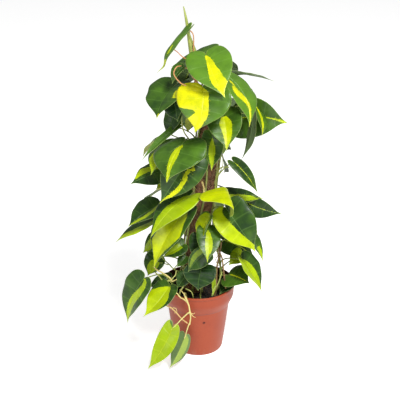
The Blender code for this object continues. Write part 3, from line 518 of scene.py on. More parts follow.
class Growth:
    """Gathers blades and strands of one leafy stem and makes them one mesh."""

    def __init__(self):
        self.points, self.faces, self.finishes = [], [], []
        self.values = {name: [] for name in VALUE_WIDTHS}
        self.count = 0

    def add(self, points, faces, finish, **values):
        self.points.append(points)
        self.faces += (np.array(faces) + self.count).tolist()
        self.finishes += [finish] * len(faces)
        for name, width in VALUE_WIDTHS.items():
            given = np.array(values.get(name, 0.0), float)
            self.values[name].append(np.broadcast_to(given, (len(points), width)))
        self.count += len(points)

    def piece(self, name, materials):
        made = mesh_object(name, np.vstack(self.points), self.faces, *materials)
        mesh = made.data
        mesh.polygons.foreach_set("material_index", self.finishes)
        for label, kept in self.values.items():
            array = np.vstack(kept)
            if label == "uv":
                corners = np.zeros(len(mesh.loops), int)
                mesh.loops.foreach_get("vertex_index", corners)
                mesh.uv_layers.new(name="surface").data.foreach_set("uv", array[corners].ravel())
                continue
            kind, field = ("FLOAT", "value") if label == "streak" else ("FLOAT_VECTOR", "vector")
            mesh.attributes.new(label, kind, "POINT").data.foreach_set(field, array.ravel())
        return made


def strand(growth, route, radii, look, sides=STRAND_SIDES):
    """A round closed strand along the route."""
    route, radii = np.array(route, float), np.array(radii, float)
    along = np.gradient(route, axis=0)
    along /= np.linalg.norm(along, axis=1)[:, None]
    side = np.cross(along[0], STRAND_START)
    turn = np.linspace(0, 2 * math.pi, sides, endpoint=False)
    lengths = np.concatenate([[0], np.cumsum(np.linalg.norm(np.diff(route, axis=0), axis=1))])
    points, places = [], []
    for place, way, radius, far in zip(route, along, radii, lengths):
        side = unit(side - way * (side @ way))
        ring = np.outer(np.cos(turn), side) + np.outer(np.sin(turn), np.cross(way, side))
        points.append(place + radius * ring)
        places.append(np.stack([turn / STRAND_WRAP[0], np.full(sides, far * STRAND_WRAP[1])], 1))
    rings = ring_numbers(len(route), sides)
    faces = []
    for low, high in zip(rings, rings[1:]):
        for a, b, c, d in band(low, high):
            faces += [[a, b, c], [a, c, d]]
    last = rings[-1][0]
    for k in range(1, sides - 1):
        faces += [[0, k + 1, k], [last, last + k, last + k + 1]]
    growth.add(np.vstack(points), faces, 1, strand_look=look, uv=np.vstack(places))


def blade_frame(leaf):
    """The blade's length along its curve and the axes across, along and up from it."""
    chord = np.subtract(leaf.tip, leaf.base).astype(float)
    reach = np.linalg.norm(chord)
    half = math.radians(leaf.droop) / 2
    length = reach * half / math.sin(half)
    along = chord / reach
    up = direction(*leaf.face)
    up = unit(up - along * (up @ along))
    return length, np.array([np.cross(along, up), along, up])


def blade_place(leaf, length, axes, across, forward, phase):
    """Places on the middle surface at this far across and forward on the flat leaf."""
    half_width = leaf.width / 2
    droop = math.radians(leaf.droop)
    bend = droop * forward / length
    fold = np.radians(leaf.fold + leaf.lean * np.sign(across))
    soft = FOLD_ROUND * half_width
    out = across / half_width
    share = forward / length
    wave = np.sin(WAVE_COUNT * share + leaf.node + WAVE_SHIFT * np.sign(across))
    ripple = np.sin(RIPPLE_COUNT * share + RIPPLE_SHIFT * phase)
    rise = (np.hypot(across, soft) - soft) * np.sin(fold)
    rise = rise - HALF_CURL * half_width * out**4
    rise = rise + WAVE * half_width * out**2 * wave
    rise = rise + RIPPLE * half_width * np.abs(out) ** 3 * ripple
    rise = rise - leaf.curl * np.exp(-(((share - TAIL_AT) / TAIL_REACH) ** 2))
    side = across * np.cos(fold) + length * math.tan(math.radians(leaf.bow)) * (share**2 - share)
    radius = length / droop
    y = radius * np.sin(bend) + rise * np.sin(bend)
    z = -radius * (1 - np.cos(bend)) + rise * np.cos(bend)
    half = droop / 2
    y, z = y * math.cos(half) - z * math.sin(half), y * math.sin(half) + z * math.cos(half)
    return np.array(leaf.base) + np.stack([side, y, z], -1) @ axes


def blade_layout():
    """The flat blade's spots, its triangles and its rim.

    A spot is its row stop, signed share across, shares of the width and length, the share of the
    length where its vein leaves the midrib, and how wide the half blade is there.
    """
    last = len(HALF_OUTLINE) - 1
    stops = np.linspace(0, last, ROWS_PER_STOP * last + 1)
    outline = curve_at(HALF_OUTLINE, stops)
    shares = [-c for c in BLADE_COLUMNS[:0:-1]] + list(BLADE_COLUMNS)
    rows = len(stops) - 1
    spots, index = [], {}
    for row, (stop, (x, y, foot)) in enumerate(zip(stops, outline)):
        for column, share in enumerate(shares):
            if row in (0, rows):
                if column:
                    index[row, column] = index[row, 0]
                    continue
                share = 0.0
            s = abs(share)
            index[row, column] = len(spots)
            along = foot + (y - foot) * (0.6 * s + 0.4 * s * s)
            spots.append((stop / last, share, share * x, along, foot, x))
    middle = len(BLADE_COLUMNS) - 1
    cells = []
    for row in range(rows):
        for column in range(len(shares) - 1):
            a, b = index[row, column], index[row, column + 1]
            d, c = index[row + 1, column], index[row + 1, column + 1]
            split = ((a, b, c), (a, c, d)) if column < middle else ((a, b, d), (b, c, d))
            cells += [t for t in split if len(set(t)) == 3]
    edges = {(t[k], t[(k + 1) % 3]) for t in cells for k in range(3)}
    rim = sorted(e for e in edges if e[::-1] not in edges)
    return np.array(spots), cells, rim


LAYOUT, CELLS, RIM = blade_layout()


def streak_depth(leaf, spots):
    """How deep each spot lies inside the leaf's lime streaks, in millimetres, and below 0 outside."""
    share, foot, half = -spots[:, 1], spots[:, 4], np.maximum(spots[:, 5] * leaf.width, 1.0)
    length = np.linalg.norm(np.subtract(leaf.tip, leaf.base))

    def inside(streak):
        rows = np.array(streak, float)
        left, right = (np.interp(foot, rows[:, 0], rows[:, k]) for k in (1, 2))
        open_left = np.clip(-OPEN_SLOPE * (left + OPEN_FROM), 0, 1)
        open_right = np.clip(OPEN_SLOPE * (right - OPEN_FROM), 0, 1)
        from_left = (share - left) * half + STREAK_REACH * open_left
        depth = np.minimum(from_left, (right - share) * half + STREAK_REACH * open_right)
        if rows[0, 0] > 0:
            depth = np.minimum(depth, (foot - rows[0, 0]) * length)
        if rows[-1, 0] < 1:
            depth = np.minimum(depth, (rows[-1, 0] - foot) * length)
        return np.clip(depth, -STREAK_REACH, STREAK_REACH)

    depth = np.full(len(spots), -float(STREAK_REACH))
    for streak in leaf.lime:
        depth = np.maximum(depth, inside(streak))
    for patch in leaf.green:
        depth = np.minimum(depth, -inside(patch))
    return depth


def blade(growth, leaf, phase):
    """One heart-shaped blade with raised cells between its veins and a thin closed edge."""
    length, axes = blade_frame(leaf)
    row, share, across, forward, foot, edge = LAYOUT.T
    forward = np.where(forward < 0, forward * leaf.lobe, forward)
    across, forward = across * leaf.width, forward * length
    step = 0.01 * leaf.width

    def at(x, y):
        return blade_place(leaf, length, axes, x, y, phase)

    here = at(across, forward)
    aside = at(across + step, forward) - at(across - step, forward)
    normal = np.cross(aside, at(across, forward + step) - here)
    normal /= np.linalg.norm(normal, axis=1)[:, None]
    inner = np.sin(math.pi * np.abs(share)) ** 0.7 * np.minimum(1, edge * 6)
    puff = CELL_PUFF * leaf.width * inner * (0.5 - 0.5 * np.cos(2 * math.pi * VEINS * row))
    rib = np.exp(-((across / RIB_REACH) ** 2)) * (1 - foot)
    thick, thin = BLADE_THICKNESS
    body = thick + (thin - thick) * np.abs(share) ** 2
    top = here + normal * (puff - RIB_GROOVE * rib + body / 2)[:, None]
    below = here + normal * (puff - RIB_KEEL * rib - body / 2)[:, None]
    count = len(LAYOUT)
    faces = [list(t) for t in CELLS] + [[k + count for k in reversed(t)] for t in CELLS]
    for a, b in RIM:
        faces += [[b, a, a + count], [b, a + count, b + count]]
    depth = streak_depth(leaf, LAYOUT)
    margin = (1 - np.abs(share)) * np.maximum(edge * leaf.width, 0.3)
    place = np.stack([margin, np.abs(across), np.zeros(count)], 1)
    growth.add(
        np.vstack([top, below]), faces, 0, streak=np.tile(depth, 2)[:, None],
        leaf_look=(leaf.tone, leaf.gold, phase), leaf_place=np.vstack([place, place + [0, 0, 1]]),
        uv=np.tile(np.stack([share * 0.5 + 0.5, row], 1), (2, 1)),
    )


def petiole(growth, start, leaf, phase, spring, cream):
    """A leaf stalk that rises from the stem and meets the blade from below."""
    length, axes = blade_frame(leaf)
    seat = blade_place(leaf, length, axes, np.zeros(1), np.full(1, SEAT_SHARE * length), phase)[0]
    seat = seat - SEAT_DEPTH * axes[2]
    span = np.linalg.norm(seat - start)
    outward = seat - start
    outward[2] = 0
    outward /= np.linalg.norm(outward) + 1e-9
    first = start + span * spring * (SPRING_OUT * outward + np.array([0, 0, SPRING_UP]))
    arrive = SEAT_FROM_BELOW * axes[2] + SEAT_FROM_TIP * axes[1]
    second = seat - span * SEAT_PULL * spring * arrive / np.linalg.norm(arrive)
    t = np.linspace(0, 1, PETIOLE_STEPS)[:, None]
    route = (1 - t) ** 3 * start + 3 * t * (1 - t) ** 2 * first + 3 * t * t * (1 - t) * second + t**3 * seat
    t = t[:, 0]
    (foot, foot_end), (head, head_end) = PETIOLE_FOOT, PETIOLE_HEAD
    swell = foot * np.exp(-t * foot_end) - PETIOLE_TAPER * t + head * np.exp(-(1 - t) * head_end)
    look = (leaf.blush, PETIOLE_OLD * math.sin(phase * 7) ** 2, cream)
    strand(growth, route, PETIOLE_RADIUS * (PETIOLE_WAIST + swell), look)


def stem_route(name):
    """The stem's places from its buried foot to its last leaf."""
    controls = [np.array(p, float) for p in SHOOTS.get(name, ()) + FREE_START.get(name, ())]
    controls += [beside_pole(height, turn, STEM_RADIUS) for height, turn in CLIMBERS.get(name, ())]
    controls += [np.array(p, float) for p in FREE_END.get(name, ())]
    if name in SHOOTS or name in FREE_START:
        foot = controls[0] - np.array([0, 0, STEM_DEPTH])
    else:
        foot = beside_pole(controls[0][2] - STEM_DEPTH, CLIMBERS[name][0][1], STEM_RADIUS)
    return np.vstack([foot, curve_points(controls, STEM_STEPS * (len(controls) - 1) + 1)])


def stem_place(route, height):
    """The stem's place above the soil that is nearest to this height."""
    return route[1:][np.argmin(np.abs(route[1:, 2] - height))]


def grow(name, materials, chance):
    """One leafy stem: its stem, petioles, blades and aerial roots."""
    growth = Growth()
    route = stem_route(name)
    thick = THIN_STEM if name in SHOOTS else STEM_RADIUS
    radii = np.linspace(thick, STEM_TAPER * thick, len(route))
    leaves = [Leaf(*row) for row in LEAVES[name]]
    for leaf in leaves:
        radii = radii * (1 + NODE_SWELL * np.exp(-(((route[:, 2] - leaf.node) / NODE_REACH) ** 2)))
    trailing = name == "vine_trailing"
    strand(growth, route, radii, TRAILING_LOOK if trailing else CLIMBING_LOOK, STEM_SIDES)
    for leaf in leaves:
        phase = float(chance.uniform(0, 6))
        if name.startswith("vine_back"):
            streak = BACK_STREAKS[int(chance.integers(len(BACK_STREAKS)))]
            tone, gold = float(chance.uniform(0.2, 0.6)), float(chance.uniform(0, 0.9))
            leaf = leaf._replace(tone=tone, gold=gold, lime=(streak,))
        start = stem_place(route, leaf.node)
        petiole(growth, start, leaf, phase, *(TRAILING_SPRING if trailing else PETIOLE_SPRING))
        blade(growth, leaf, phase)
    if name == "vine_front_left":
        places = curve_points(NEW_LEAF, NEW_LEAF_STEPS)
        strand(growth, places[:, :3], places[:, 3], NEW_LEAF_LOOK, NEW_LEAF_SIDES)
    for first, last, look, places in RUNNERS.get(name, ()):
        way = curve_points(places, RUNNER_STEPS * len(places))
        strand(growth, way, np.linspace(first, last, len(way)), look)
    for run in ROOTS.get(name, ()):
        controls = [beside_pole(height, turn, ROOT_RADIUS) for height, turn in run]
        way = curve_points([stem_place(route, run[0][0]), *controls[1:]], ROOT_STEPS)
        way += chance.uniform(-ROOT_WANDER, ROOT_WANDER, way.shape)
        strand(growth, way, np.linspace(*ROOT_RADII, ROOT_STEPS), ROOT_LOOK, ROOT_SIDES)
    if name in CLIMBERS:
        low, high = CLIMBERS[name][0][0] + ROOTLET_ENDS[0], POLE_TOP - ROOTLET_ENDS[1]
        nodes = [leaf.node for leaf in leaves if low <= leaf.node <= high]
        rootlets(growth, nodes, route, chance)
    return growth.piece(name + "_foliage", materials)


def rootlets(growth, nodes, route, chance):
    """Thin clinging roots at each node that reach round the coir."""
    for node in np.repeat(nodes, ROOTLETS):
        start = stem_place(route, node)
        offset = start - pole_axis(start[2])
        turn = math.degrees(math.atan2(offset[0], -offset[1]))
        sweep = float(chance.uniform(-ROOTLET_SWEEP, ROOTLET_SWEEP))
        drop = float(chance.uniform(*ROOTLET_DROP))
        stops = np.linspace(0, 1, ROOTLET_STEPS)
        wander = np.cumsum(chance.uniform(-ROOTLET_WANDER, ROOTLET_WANDER, ROOTLET_STEPS))
        way = [
            beside_pole(start[2] - drop * s, turn + sweep * s + w * s, ROOTLET_OFF, 0.0) if s > 0 else start
            for s, w in zip(stops, wander)
        ]
        look = (0, ROOTLET_OLD, float(chance.uniform(*ROOTLET_CREAM)))
        strand(growth, way, np.linspace(*ROOTLET_RADII, ROOTLET_STEPS), look, ROOTLET_SIDES)


class Value:
    """A node's output that works with the usual signs of arithmetic."""

    def __init__(self, net, socket):
        self.net, self.socket = net, socket

    def __add__(self, other):
        return self.net.math("ADD", self, other)

    def __sub__(self, other):
        return self.net.math("SUBTRACT", self, other)

    def __mul__(self, other):
        return self.net.math("MULTIPLY", self, other)

    def __truediv__(self, other):
        return self.net.math("DIVIDE", self, other)

    def __abs__(self):
        return self.net.math("ABSOLUTE", self)


class Net:
    """Adds nodes to a tree and links them as they are made."""

    def __init__(self, tree):
        self.tree = tree

    def feed(self, socket, value):
        if isinstance(value, Value):
            self.tree.links.new(value.socket, socket)
        elif socket.type == "RGBA":
            socket.default_value = (*value, 1)
        else:
            socket.default_value = value

    def node(self, kind, inputs=(), **settings):
        made = self.tree.nodes.new(kind)
        for key, value in settings.items():
            setattr(made, key, value)
        for key, value in dict(inputs).items():
            self.feed(made.inputs[key], value)
        return made

    def add(self, kind, inputs=(), out=0, **settings):
        """A new node's output, the first one or else the one with this name or number."""
        return Value(self, self.node(kind, inputs, **settings).outputs[out])

    def math(self, operation, a, b=0.0):
        return self.add("ShaderNodeMath", {0: a, 1: b}, operation=operation)

    def vectors(self, operation, a, b=(0, 0, 0), out=0):
        return self.add("ShaderNodeVectorMath", {0: a, 1: b}, out, operation=operation)

    def step(self, value, low, high):
        """0 at low, 1 at high, smooth between them and level beyond."""
        ends = {"Value": value, "From Min": low, "From Max": high}
        return self.add("ShaderNodeMapRange", ends, "Result", interpolation_type="SMOOTHSTEP")

    def mix(self, share, a, b):
        return self.add("ShaderNodeMix", {0: share, 6: a, 7: b}, 2, data_type="RGBA")

    def noise(self, vector, scale, detail=2.0, roughness=0.5, out="Fac"):
        inputs = {"Vector": vector, "Scale": scale, "Detail": detail, "Roughness": roughness}
        return self.add("ShaderNodeTexNoise", inputs, out)

    def vector(self, x, y, z=0.0):
        return self.add("ShaderNodeCombineXYZ", {0: x, 1: y, 2: z})

    def parts(self, vector):
        return [Value(self, end) for end in self.node("ShaderNodeSeparateXYZ", {0: vector}).outputs]

    def stretched(self, vector, scales):
        """The vector with each part multiplied by its own scale."""
        return self.vector(*(part * scale for part, scale in zip(self.parts(vector), scales)))

    def attribute(self, name, out="Fac"):
        return self.add("ShaderNodeAttribute", out=out, attribute_name=name)

    def object_place(self):
        return self.add("ShaderNodeTexCoord", out="Object")

    def surface_place(self):
        return self.parts(self.add("ShaderNodeUVMap", uv_map="surface"))[:2]

    def mottled(self, mottle, vector, scale, base, drift, amount):
        """The mottle's colour and grain."""
        given = {"Vector": vector, "Scale": scale, "Base": base, "Drift": drift, "Amount": amount}
        return [Value(self, end) for end in self.node("ShaderNodeGroup", given, node_tree=mottle).outputs]

    def random(self, low, high, seed):
        """Random numbers between two numbers, or random vectors between two vectors."""
        first, out, kind = (0, 0, "FLOAT_VECTOR") if isinstance(low, tuple) else (2, 1, "FLOAT")
        given = {first: low, first + 1: high, "Seed": seed}
        return self.add("FunctionNodeRandomValue", given, out, data_type=kind)

    def tag(self, geometry, name, low, seed):
        """Stores a random number from low to 1 on each instance."""
        given = {"Geometry": geometry, "Name": name, "Value": self.random(low, 1.0, seed)}
        return self.add("GeometryNodeStoreNamedAttribute", given, data_type="FLOAT", domain="INSTANCE")


def new_tree(name, kind, inputs, outputs):
    """A node tree with named sockets, its net, its given values and the sockets of its result."""
    tree = bpy.data.node_groups.new(name, kind)
    for way, sockets in (("INPUT", inputs), ("OUTPUT", outputs)):
        for label, socket in sockets.items():
            tree.interface.new_socket(label, in_out=way, socket_type="NodeSocket" + socket)
    net = Net(tree)
    given = {end.name: Value(net, end) for end in net.node("NodeGroupInput").outputs}
    return tree, net, given, net.node("NodeGroupOutput").inputs


def make_mottle():
    """Soft changes of tone over a surface: a colour that drifts to a second one, with a little grain."""
    inputs = {"Vector": "Vector", "Scale": "Float", "Base": "Color", "Drift": "Color", "Amount": "Float"}
    outputs = {"Colour": "Color", "Grain": "Float"}
    tree, net, given, ends = new_tree("mottle", "ShaderNodeTree", inputs, outputs)
    broad = net.noise(given["Vector"], given["Scale"], 3)
    grain = net.noise(given["Vector"], given["Scale"] * 9.0, 3, 0.6)
    share = net.step(broad * 0.7 + grain * 0.3, 0.35, 0.65) * given["Amount"]
    net.feed(ends["Colour"], net.mix(share, given["Base"], given["Drift"]))
    net.feed(ends["Grain"], grain)
    return tree


def new_material(name):
    made = bpy.data.materials.new(name)
    made.use_nodes = True
    return made, Net(made.node_tree), made.node_tree.nodes["Principled BSDF"].inputs


def surface(net, shader, colour, roughness, height, distance, strength):
    """Gives the shader its colour, its roughness and a fine relief."""
    net.feed(shader["Base Color"], colour)
    net.feed(shader["Roughness"], roughness)
    relief = {"Height": height, "Distance": distance, "Strength": strength}
    net.feed(shader["Normal"], net.add("ShaderNodeBump", relief))


def blade_material(mottle):
    finish, net, shader = new_material("philodendron_blade")
    here = net.object_place()
    u, v = net.surface_place()
    tone, gold, seed = net.parts(net.attribute("leaf_look", "Vector"))
    margin, rib, under = net.parts(net.attribute("leaf_place", "Vector"))
    depth = net.attribute("streak")
    ragged = net.noise(net.vector(u * 3.2, v * 30.0, seed * 9.0), 1.0, 4, 0.62) - 0.5
    fine = net.noise(here, 420.0) - 0.5
    lime = net.step(depth + (ragged * RAGGED + fine * FINE), -0.12, 0.16)
    dashes = net.noise(net.vector(u * 9.0, v * 110.0, seed), 1.0)
    fleck = net.step(dashes, 0.60, 0.66) * net.step(abs(depth), 4.5, 0.5)
    lime = abs(lime - fleck * FLECKS)

    # The leaf's tone carries painted sheen on glossy leaves and painted shade on shaded ones, besides its own
    # green
    level = tone + (net.noise(here, 48.0, 4) - 0.5) * TONE_DRIFT
    green = net.mix(net.step(level, 0.0, 1.0), DARK_GREEN, BRIGHT_GREEN)
    olive = net.mix(net.step(gold, -1.0, 0.0), OLIVE, LIME)
    bright = net.mix(net.step(gold, 0.0, 1.0), olive, YELLOW)
    bright = net.mottled(mottle, here, 60.0, bright, LIME_SHADE, 0.5)[0]
    colour = net.mix(lime, green, bright)

    beside = abs(net.math("FRACT", v * float(VEINS) + 0.5) - 0.5)
    vein, midrib = net.step(beside, 0.075, 0.01), net.step(rib, 0.9, 0.25)
    lines = net.math("MAXIMUM", vein * 0.5, midrib)
    colour = net.mix(lines * VEIN_SHARE, colour, net.mix(lime, GREEN_VEIN, LIME_VEIN))
    colour = net.mix(net.step(margin, 0.55, 0.1) * RIM_SHARE, colour, PALE_RIM)
    colour = net.mix(under, colour, net.mix(0.5, colour, UNDERSIDE))
    shader["Specular IOR Level"].default_value = BLADE_SPECULAR
    roughness = net.noise(here, 90.0) * 0.14 + BLADE_GLOSS + under * 0.2
    cells = net.noise(net.vector(u * 60.0, v * 130.0, seed), 1.0, 3)
    surface(net, shader, colour, roughness, cells * 0.22 - lines, 0.0004, 0.6)
    return finish


def strand_material(mottle):
    finish, net, shader = new_material("philodendron_stem")
    here = net.object_place()
    u, v = net.surface_place()
    blush, age, cream = net.parts(net.attribute("strand_look", "Vector"))
    green = net.mottled(mottle, here, 120.0, STEM_GREEN, STEM_LIGHT, 0.8)[0]
    colour = net.mix(blush * 0.85, net.mix(cream, green, STEM_CREAM), STEM_PINK)
    worn = age + (net.noise(here, 160.0, 3) - 0.5)
    colour = net.mix(net.step(worn, 0.25, 0.95), colour, STEM_OLD)
    lines = net.noise(net.vector(u * 24.0, v * 8.0), 1.0, 3)
    surface(net, shader, colour, age * 0.3 + 0.42, lines, 0.0003, 0.6)
    return finish


def pot_material(mottle):
    finish, net, shader = new_material("pot_terracotta_plastic")
    here = net.object_place()
    x, y, z = net.parts(here)
    colour, grain = net.mottled(mottle, here, 26.0, TERRACOTTA, TERRACOTTA_LIGHT, 0.6)
    colour = net.mix(net.step(net.noise(here, 900.0, 2, 0.6), 0.68, 0.76) * 0.25, colour, POT_SPECK)
    dust = net.step(z, 0.016, 0.0) * net.step(net.noise(here, 210.0, 4, 0.6), 0.42, 0.7)
    colour = net.mix(dust * 0.35, colour, POT_DUST)
    # Painted shade: the inner wall above the soil is darkened almost to black
    radius = net.vectors("LENGTH", net.vector(x, y), out="Value")
    inside = net.step(radius, 0.0587, 0.0580) * net.step(z, 0.100, 0.104)
    colour = net.mix(inside * 0.85, colour, POT_INSIDE_SHADE)
    # Painted shade in the crease under the collar and in the groove under the rolled lip
    for level, reach, share in POT_CREASE_SHADES:
        colour = net.mix(net.step(abs(z - level), reach, 0.0) * share, colour, POT_CREASE_SHADE)
    # Painted shade in the dimple's hollow
    off = net.vectors("DISTANCE", here, tuple(MM * v for v in DIMPLE_AT), "Value")
    colour = net.mix(net.step(off, *DIMPLE_REACH), colour, DIMPLE_PAINTED_SHADE)
    shader["Specular IOR Level"].default_value = 0.3
    scuffs = net.noise(net.stretched(here, (90.0, 90.0, 900.0)), 1.0, 3)
    surface(net, shader, colour, scuffs * 0.16 + 0.36 + dust * 0.2, grain, 0.00015, 0.35)
    return finish


def rough_material(mottle, name):
    """A rough mottled surface from the table of them."""
    scale, base, drift, amount, roughness, relief, flecks, stretch = (*ROUGH[name], None, None)[:8]
    finish, net, shader = new_material(name)
    here = net.object_place()
    if stretch:
        here = net.stretched(here, stretch)
    colour, grain = net.mottled(mottle, here, scale, base, drift, amount)
    if flecks:
        label, low, high, other = flecks
        colour = net.mix(net.step(net.attribute(label), low, high), colour, other)
    surface(net, shader, colour, roughness, grain, *relief)
    return finish


def turned(name, profile, sides, finish):
    """A closed body turned about Z from a profile that starts and ends on the axis."""
    points, rings, faces = [], [], []
    for radius, height in profile:
        if radius == 0:
            rings.append([len(points)] * sides)
            points.append((0, 0, height))
            continue
        rings.append(range(len(points), len(points) + sides))
        for k in range(sides):
            turn = 2 * math.pi * k / sides
            points.append((radius * math.cos(turn), radius * math.sin(turn), height))
    for low, high in zip(rings, rings[1:]):
        faces += band(low, high)
    return mesh_object(name, points, faces, finish)


def move(thing, x, y, z):
    thing.data.transform(Matrix.Translation((x * MM, y * MM, z * MM)))


def make_pot(finish):
    """The pot with its lip, drain holes and the small round dimple on its front."""
    pot = turned("nursery_pot", POT_OUTER + POT_INNER, POT_SIDES, finish)
    tools = bpy.data.collections.new("pot_tools")
    cutters = []
    for k in range(DRAIN_HOLES):
        turn = 2 * math.pi * (k + 0.5) / DRAIN_HOLES
        ends = ((0, -3), (DRAIN_RADIUS, -3), (DRAIN_RADIUS, 6), (0, 6))
        drill = turned("drill", ends, DRAIN_SIDES, finish)
        move(drill, DRAIN_CIRCLE * math.cos(turn), DRAIN_CIRCLE * math.sin(turn), 0)
        cutters.append(drill)
    turns = np.linspace(0, math.pi, DIMPLE_STOPS)
    rounds = [(DIMPLE_RADIUS * math.sin(a), -DIMPLE_RADIUS * math.cos(a)) for a in turns]
    rounds[0], rounds[-1] = (0, -DIMPLE_RADIUS), (0, DIMPLE_RADIUS)
    dimple = turned("dimple", rounds, DIMPLE_SIDES, finish)
    move(dimple, *DIMPLE_AT)
    cutters.append(dimple)
    for cutter in cutters:
        tools.objects.link(cutter)
    step = pot.modifiers.new("Drains", "BOOLEAN")
    step.operation, step.solver = "DIFFERENCE", "EXACT"
    step.operand_type, step.collection = "COLLECTION", tools
    settle(pot)
    for cutter in cutters:
        bpy.data.objects.remove(cutter)
    bpy.data.collections.remove(tools)
    pot.data.set_sharp_from_angle(angle=POT_SHARP)
    return pot


def soil_height(x, y):
    lumps = SOIL_LUMPS * np.sin(0.21 * x + 1.3) * np.cos(0.17 * y - 0.6)
    return SOIL_TOP + CRUMB_LIFT + lumps + 0.5 * SOIL_LUMPS * np.sin(0.53 * x - 0.41 * y)


def run_nodes(thing, name, values, finish, build):
    """Builds a Geometry Nodes tree with named inputs, runs it and keeps the result as the plain mesh."""
    kinds = {"Geometry": "Geometry", **{label: "Int" if label == "Seed" else "Float" for label in values}}
    tree, net, given, ends = new_tree(
        name, "GeometryNodeTree", {**kinds, "Finish": "Material"}, {"Geometry": "Geometry"}
    )
    painted = {"Geometry": build(net, given), "Material": given["Finish"]}
    net.feed(ends["Geometry"], net.add("GeometryNodeSetMaterial", painted))
    step = thing.modifiers.new(name, "NODES")
    step.node_group = tree
    for item in tree.interface.items_tree:
        if item.name != "Geometry":
            step[item.identifier] = finish if item.name == "Finish" else values[item.name]
    settle(thing)
    return thing


def crumb_layer(net, given):
    """Crumbs scattered over the soil's bed, clear of the pole, with the bed."""
    x, y, _ = net.parts(net.add("GeometryNodeInputPosition"))
    far = net.vectors("LENGTH", net.vector(x - POLE_AT_SOIL * MM, y), out="Value")
    clear = {0: far, 1: given["Pole radius"]}
    scatter = net.add("GeometryNodeDistributePointsOnFaces", {
        "Mesh": given["Geometry"], "Density": given["Density"], "Seed": given["Seed"],
        "Selection": net.add("FunctionNodeCompare", clear, data_type="FLOAT", operation="GREATER_THAN"),
    })
    squash = {0: net.random(*CRUMB_SQUASH, 8), "Scale": net.random(given["Smallest"], given["Largest"], 7)}
    crumbs = net.add("GeometryNodeInstanceOnPoints", {
        "Points": scatter,
        "Instance": net.add("GeometryNodeMeshIcoSphere", {"Radius": 1.0, "Subdivisions": 1}),
        "Rotation": net.random((-CRUMB_TURN,) * 3, (CRUMB_TURN,) * 3, 9),
        "Scale": net.add("ShaderNodeVectorMath", squash, operation="SCALE"),
    })
    loose = net.add("GeometryNodeRealizeInstances", {"Geometry": net.tag(crumbs, "crumb", 0.0, 11)})
    joined = net.node("GeometryNodeJoinGeometry")
    net.feed(joined.inputs[0], loose)
    net.feed(joined.inputs[0], given["Geometry"])
    return Value(net, joined.outputs[0])


def make_crumbs(finish):
    """A lumpy bed on the soil with crumbs of potting mix."""
    points = [(0, 0, soil_height(0, 0))]
    for ring in range(1, SOIL_RINGS + 1):
        reach = SOIL_EDGE * ring / SOIL_RINGS
        for k in range(SOIL_SIDES):
            turn = 2 * math.pi * k / SOIL_SIDES
            x, y = reach * math.cos(turn), reach * math.sin(turn)
            points.append((x, y, float(soil_height(x, y))))
    faces = [[0, 1 + k, 1 + (k + 1) % SOIL_SIDES] for k in range(SOIL_SIDES)]
    for ring in range(SOIL_RINGS - 1):
        for k in range(SOIL_SIDES):
            a, b = (1 + ring * SOIL_SIDES + (k + j) % SOIL_SIDES for j in (0, 1))
            faces.append([a, a + SOIL_SIDES, b + SOIL_SIDES, b])
    bed = mesh_object("soil_crumbs", points, faces, finish)
    return run_nodes(bed, "crumb_layer", CRUMBS, finish, crumb_layer)


def make_sleeve(finish):
    """The coir sleeve: matted strands wound round the stake, closed at both ends."""
    turns = np.linspace(0, 2 * math.pi, SLEEVE_SIDES, endpoint=False)
    points = []
    for height in np.linspace(POLE_FOOT, POLE_TOP, SLEEVE_RINGS):
        end = SLEEVE_END[0] * max(0, 1 - (POLE_TOP - height) / SLEEVE_END[1]) ** 2
        for turn in turns:
            ropes = sum(size * math.sin(count * turn + height * twist) for size, count, twist in SLEEVE_ROPES)
            matted = SLEEVE_MATTED * math.sin(height * 0.55 + 3 * math.sin(2 * turn))
            matted *= math.sin(5 * turn + height * 0.21)
            reach = COIR_RADIUS - COIR_MAT + ropes + matted - end
            points.append(pole_axis(height) + reach * direction(math.degrees(turn)))
    for height in (POLE_TOP, POLE_FOOT):
        points += [pole_axis(height) + STAKE_BORE * direction(math.degrees(turn)) for turn in turns]
    rings = ring_numbers(SLEEVE_RINGS + 2, SLEEVE_SIDES)
    faces = []
    for low, high in zip(rings, rings[1:] + rings[:1]):
        faces += band(low, high)
    return mesh_object("coir_sleeve", points, faces, finish)


